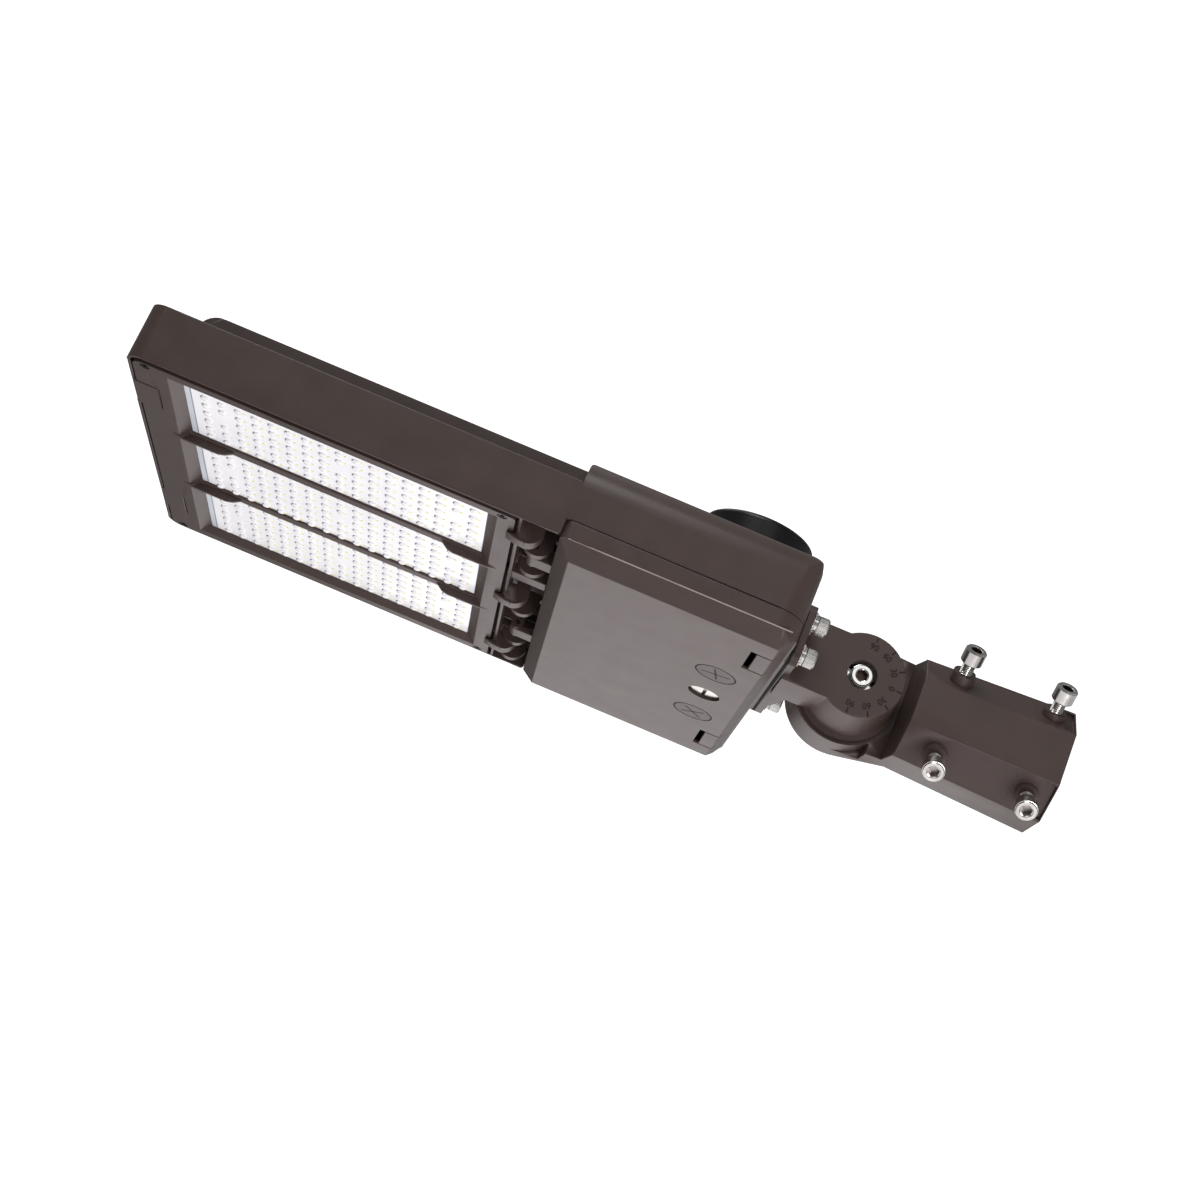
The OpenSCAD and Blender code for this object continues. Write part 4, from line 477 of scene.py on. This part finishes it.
# The knuckle's bolt sits in a round recess of the arm: a socket head, a spring washer whose cut ends
# stand up and catch the light, and a nut in the far side of the yoke.
def washer(r_in, r_out, thick, start, stop, lift, teeth=0, turns=72):
    """A flat ring about +Z from start to stop degrees: a four-point section carried round, whose ends
    rise by lift over the last run_up degrees, and whose rim steps in and dips on every other tooth."""
    run_up, tooth_in, tooth_dip = 14.0, 1.1, 0.35
    a = np.linspace(start, stop, turns + 1)[:, None]
    from_end = np.abs(a - (start + stop) / 2) - (stop - start) / 2
    rise = lift * np.clip((from_end + run_up) / run_up, 0, 1) ** 2
    notch = (np.floor((a - start) / 360.0 * 2 * teeth) % 2) if teeth else 0 * a
    r = np.array([[r_in, r_out, r_out, r_in]]) - notch * [[0, tooth_in, tooth_in, 0]]
    h = np.array([[0, 0, thick, thick]]) + rise + notch * [[0, -tooth_dip, -tooth_dip, 0]]
    points = np.stack([r * np.cos(np.radians(a)), r * np.sin(np.radians(a)), h], -1)
    ends = [points[k].mean(0) + np.zeros((1, 4, 3)) for k in (0, -1)]
    return skin(np.concatenate([ends[0], points, ends[1]]))


pivot = np.array([-155.6, 0.0, 0.0])
near_side, far_side, upright = (0.0, -1.0, 0.0), (0, 1, 0), (0, 0, 1)
head_seat, nut_seat, seat_depth = pivot + [0, -30, 0], pivot + [0, 27, 0], [0, 2, 0]
bolt_r, bolt_head_h, bolt_key, thread_from, thread_to = 5.0, 10.0, 4.0, 50, 66
bolt_head = cap_screw_head(r=8.0, h0=0.0, length=bolt_head_h, key=bolt_key)
shank = turned([(0, -thread_from), (bolt_r, -thread_from), (bolt_r, 0.2), (0, 0.2)])
thread = threaded(bolt_r, pitch=1.5, h0=thread_from, h1=thread_to)
spring = {"r_in": 5.2, "r_out": 10.3, "thick": 1.7}
piece("pivot_bolt_turned", [stood(bolt_head, head_seat, near_side), stood(shank, head_seat, near_side),
                            stood(thread, head_seat, far_side)],
      "fixture", stainless, replaces=("pivot_bolt",))
piece("pivot_bolt_pocket", [stood(key_shade(0.0, bolt_head_h, bolt_key), head_seat, near_side)],
      "fixture", painted_pocket_shade)
halves = [stood(washer(**spring, start=start, stop=stop, lift=1.1), head_seat + seat_depth,
                near_side, upright) for start, stop in ((-88.0, 56.0), (60.0, 268.0))]
flat_one = stood(washer(**spring, start=4, stop=356, lift=0.2), nut_seat - seat_depth, far_side)
piece("pivot_spring_washers", halves + [flat_one], "fixture", stainless, replaces=("pivot_washers",))
dress(stainless, "pivot_nut")


# A scale of degrees is cast in relief on the arm's disc: long strokes every 30 degrees with their
# numbers inside them, read clockwise, so that the tilt can be set by eye.
def digits(text, size, thick):
    """Text filled and made thick, in mm about its own middle, as (points, three-sided faces)."""
    curve = bpy.data.curves.new("digits", "FONT")
    curve.body, curve.size, curve.extrude, curve.resolution_u = text, size, thick / 2, 3
    curve.align_x, curve.align_y = "CENTER", "CENTER"
    holder = bpy.data.objects.new("digits", curve)
    scene.collection.objects.link(holder)
    bpy.context.view_layer.update()
    mesh = bpy.data.meshes.new_from_object(holder.evaluated_get(bpy.context.evaluated_depsgraph_get()))
    mesh.calc_loop_triangles()
    points, corners = np.empty(len(mesh.vertices) * 3), np.empty(3 * len(mesh.loop_triangles), int)
    mesh.vertices.foreach_get("co", points)
    mesh.loop_triangles.foreach_get("vertices", corners)
    bpy.data.objects.remove(holder)
    return points.reshape(-1, 3), corners.reshape(-1, 3)


# The photograph shows the raised figures darker than the face they stand on, and with less gloss.
# Their darker coat is painted shade, and the same coat fills the door plugs' slots as their shade.
painted_shade_coat = finish("painted_shade_on_figures_and_slots", "#1e1816", "#28211e", 0.5, 0.0010, 0.00001,
                   Specular_IOR_Level=0.12)
scale_zero, scale_step, number_r, number_size, relief = -3.0, 30.0, 22.4, 6.6, 0.5
stroke_half, stroke_in, stroke_out, stroke_sunk = 0.4, 26.4, 30.6, 0.2
stroke = slab((-stroke_half, stroke_in, -stroke_sunk), (stroke_half, stroke_out, relief / 2 + 0.1))
disc_face = pivot + [0, -41.0, 0]
strokes, numbers = [], []
for step, number in zip(range(3, -4, -1), ("90", "60", "30", "0", "30", "60", "90")):
    angle = np.radians(scale_zero + scale_step * step)
    out = np.array([np.cos(angle), 0, np.sin(angle)])
    clockwise = np.array([np.sin(angle), 0, -np.cos(angle)])
    to_disc = np.array([clockwise, out, near_side])
    points, corners = digits(number, number_size, relief)
    numbers.append((points @ to_disc + disc_face + number_r * out, corners))
    strokes.append((stroke[0] @ to_disc + disc_face, stroke[1]))
piece("tilt_scale_strokes", strokes, "fixture", painted_shade_coat)
piece("tilt_scale_numbers", numbers, "fixture", painted_shade_coat)


# Four bolts hold the flange to the housing. Each has a knurled socket head over a spring washer and
# a toothed washer that bites through the paint; a black gasket keeps the joint dry.
to_pole = (1.0, 0.0, 0.0)
head_x, spring_x, toothed_x = -200.0, -202.0, -203.6 + 0.36
flange_bolt = (cap_screw_head(r=6.8, h0=0.0, length=8.0, key=3.0, kind="knurl"),
               threaded(r=3.9, pitch=1.25, h0=-20.0, h1=0.3))
split = washer(r_in=4.2, r_out=7.0, thick=1.7, start=4, stop=348, lift=0.3)
star = washer(r_in=4.3, r_out=8.2, thick=1.2, start=0, stop=360, lift=0.0, teeth=16, turns=128)
heads, springs, toothed = [], [], []
for y in (-62.0, 62.0):
    for z in (13.5, -11.5):
        heads += [stood(shape, (head_x, y, z), to_pole, upright) for shape in flange_bolt]
        springs.append(stood(split, (spring_x, y, z), to_pole, upright))
        toothed.append(stood(star, (toothed_x, y, z), to_pole, upright))
piece("flange_bolts_turned", heads, "fixture", stainless, replaces=("flange_bolts",))
piece("flange_spring_washers", springs, "fixture", stainless, replaces=("flange_split_washers",))
piece("flange_toothed_washers", toothed, "fixture", stainless, replaces=("flange_serrated_washers",))
# Rubber and cable sheath soak the light up, nearly black with a dull skin. The same finish is the
# painted shade in the gap round each door plug.
rubber_black_and_gap_shade = finish("black_epdm_rubber_and_gap_shade", "#121212", "#1c1c1c", 0.7, 0.0016, 0.00002,
                      Specular_IOR_Level=0.12)
dress(rubber_black_and_gap_shade, "flange_gasket", "door_gasket", "receptacle_gasket", "tunnel_grommet", "led_lead",
      "mains_lead")


# The door's rim has a narrow ledge along its near edge. The photograph shows a thin light line there,
# which the ledge is too narrow to catch, so a pale strip just proud of the rim stands for it as a
# painted highlight.
painted_highlight_coat = finish("painted_highlight_on_powder_coat", "#867c7a", "#9a908e", 0.4, 0.0012, 0.00001,
                  Specular_IOR_Level=0.3)
rim_x0, rim_x1, rim_y, rim_z = -378.0, -222.0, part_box("driver_door")[0][1] * 1000.0, -35.0
near_inset, strip_w, strip_proud, strip_up = 0.02, 0.9, 0.12, 0.45
rim_strip = slab((rim_x0, rim_y + near_inset, rim_z - strip_proud),
                 (rim_x1, rim_y + strip_w, rim_z + strip_up))
piece("door_painted_highlight", [rim_strip], "door", painted_highlight_coat)


# The door hangs on two pins and closes with one broad slotted screw in a recess, held to the door by
# a clip. The bezel's corner screws are small and black, so they hardly show.
def half_disc(r, chord, h0, h1, edge):
    """One side of a slotted disc about +Z: an arc of radius r closed by a chord at distance chord from
    the middle, its outer rim drawn in by edge at the top."""
    steps = 32
    a = np.linspace(np.arcsin(chord / r), np.pi - np.arcsin(chord / r), steps)
    arc = np.stack([r * np.cos(a), r * np.sin(a)], 1)
    hub = arc.mean(0)
    tops = [(0.0, h0), (1.0, h0), (1.0, h1 - edge), (1.0 - edge / r, h1), (0.0, h1)]
    return skin(np.array([np.column_stack([hub + (arc - hub) * keep, np.full(steps, h)])
                          for keep, h in tops]))


row_x, down, along_y = -252.1, (0.0, 0.0, -1.0), (0, 1, 0)
screw_at, screw_r, slot_half = (row_x, 0.0, -41.4), 10.6, 1.1
half = half_disc(screw_r, slot_half, h0=0.3, h1=2.2, edge=0.35)
other_half = half[0] @ np.diag([-1.0, -1.0, 1.0]), half[1]
slot_floor = turned([(0, 0.2), (screw_r - 0.4, 0.2), (screw_r, 0.5), (0, 0.5)])
thread = threaded(r=4.0, pitch=1.25, h0=-23.2, h1=0.3)
door_screw = [stood(shape, screw_at, down, along_y) for shape in (slot_floor, half, other_half, thread)]
piece("door_screw_turned", door_screw, "door_fastener", stainless, replaces=("door_screw",))
dress(stainless, "door_hinge_pins", "door_screw_clip", "board_screws", "driver_screws")
# Black zinc plate keeps a dull metal glint under its black.
black_zinc = finish("black_zinc_plated_steel", "#1c1b1b", "#2b2a29", 0.4, 0.001, 0.000008, Metallic=0.9)
dress(black_zinc, "bezel_corner_screws")


# Two round plugs in the door cover the power and colour dials. They are nylon moulded in the body's
# bronze, a little greyer and duller than the paint, each with a crossed coin slot. A black ring on
# each plug's rim is painted shade of the gap round it. The slots are shallow, so dark inlays in them
# stand for their shade.
nylon = finish("bronze_moulded_nylon", "#413937", "#48403e", 0.5, 0.0010, 0.00001)
plug_y, flat_z, gap_shade_drop = 52.6, -45.4, 0.45
slot_reach, inlay_half, inlay_proud, inlay_deep = 10.3, 0.8, 0.03, 0.7
points, faces = slab((-slot_reach, -inlay_half, -inlay_proud), (slot_reach, inlay_half, inlay_deep))
gap_shade_ring = washer(r_in=14.1, r_out=15.2, thick=0.5, start=0, stop=360, lift=0.0)
for side, y, turned_by in (("near", -plug_y, -12.0), ("far", plug_y, 49.0)):
    casting("selector_plug_" + side, "plug_" + side, 0.00025, nylon)
    piece("plug_gap_shade_" + side, [stood(gap_shade_ring, (row_x, y, flat_z + gap_shade_drop), down)],
          "plug_" + side, rubber_black_and_gap_shade)
    c, s = np.cos(np.radians(turned_by)), np.sin(np.radians(turned_by))
    arms = np.array([[[c, s, 0], [-s, c, 0], [0, 0, 1]], [[-s, c, 0], [-c, -s, 0], [0, 0, 1]]])
    piece("plug_cross_" + side, [(points @ way + (row_x, y, flat_z), faces) for way in arms],
          "plug_" + side, painted_shade_coat)
# Moulded ABS is an even black with a low sheen, and cream nylon a warm, slightly waxy white.
black_abs = finish("black_moulded_abs", "#1a1b1c", "#232425", 0.42, 0.0012, 0.00001)
cream_nylon = finish("cream_moulded_nylon", "#d9d2bd", "#e4deca", 0.45, 0.001, 0.00001)
dress(black_abs, "selector_switch_near", "selector_switch_far", "surge_protector")
dress(cream_nylon, "selector_dial_near", "selector_dial_far")


# The shorting cap twists into the roof receptacle. Both are black weatherproof polypropylene, smooth
# from the mould, and the blades and contacts are rolled brass, a bright warm yellow.
black_pp = finish("black_moulded_polypropylene", "#08080a", "#0d0d0f", 0.34, 0.002, 0.00001,
                  Specular_IOR_Level=0.3)
casting("photocontrol_cap", "cap", 0.0006, black_pp)
casting("receptacle", "receptacle", 0.0004, black_pp)
dress(black_pp, "receptacle_ring")
brass = finish("rolled_brass", "#b58b3c", "#c9a052", 0.3, 0.001, 0.000005, Metallic=1.0)
dress(brass, "receptacle_contacts", "cap_blades")


# Behind the door: the driver in its drawn aluminium can, a soft bright grey, a surge protector, a
# terminal block moulded in off-white plastic, and the ground screw, whose green passivated skin
# keeps the steel's glint. The photograph shows none of them.
can = finish("drawn_aluminium_can", "#c4c4c2", "#d2d2d0", 0.38, 0.0016, 0.00001, Metallic=0.85)
white_pbt = finish("white_moulded_pbt", "#e6e4dc", "#efede6", 0.45, 0.0012, 0.00001)
green_steel = finish("green_passivated_steel", "#3f7a3f", "#548f50", 0.35, 0.001, 0.000008, Metallic=0.7)
dress(can, "led_driver")
dress(white_pbt, "terminal_block")
dress(green_steel, "ground_screw")
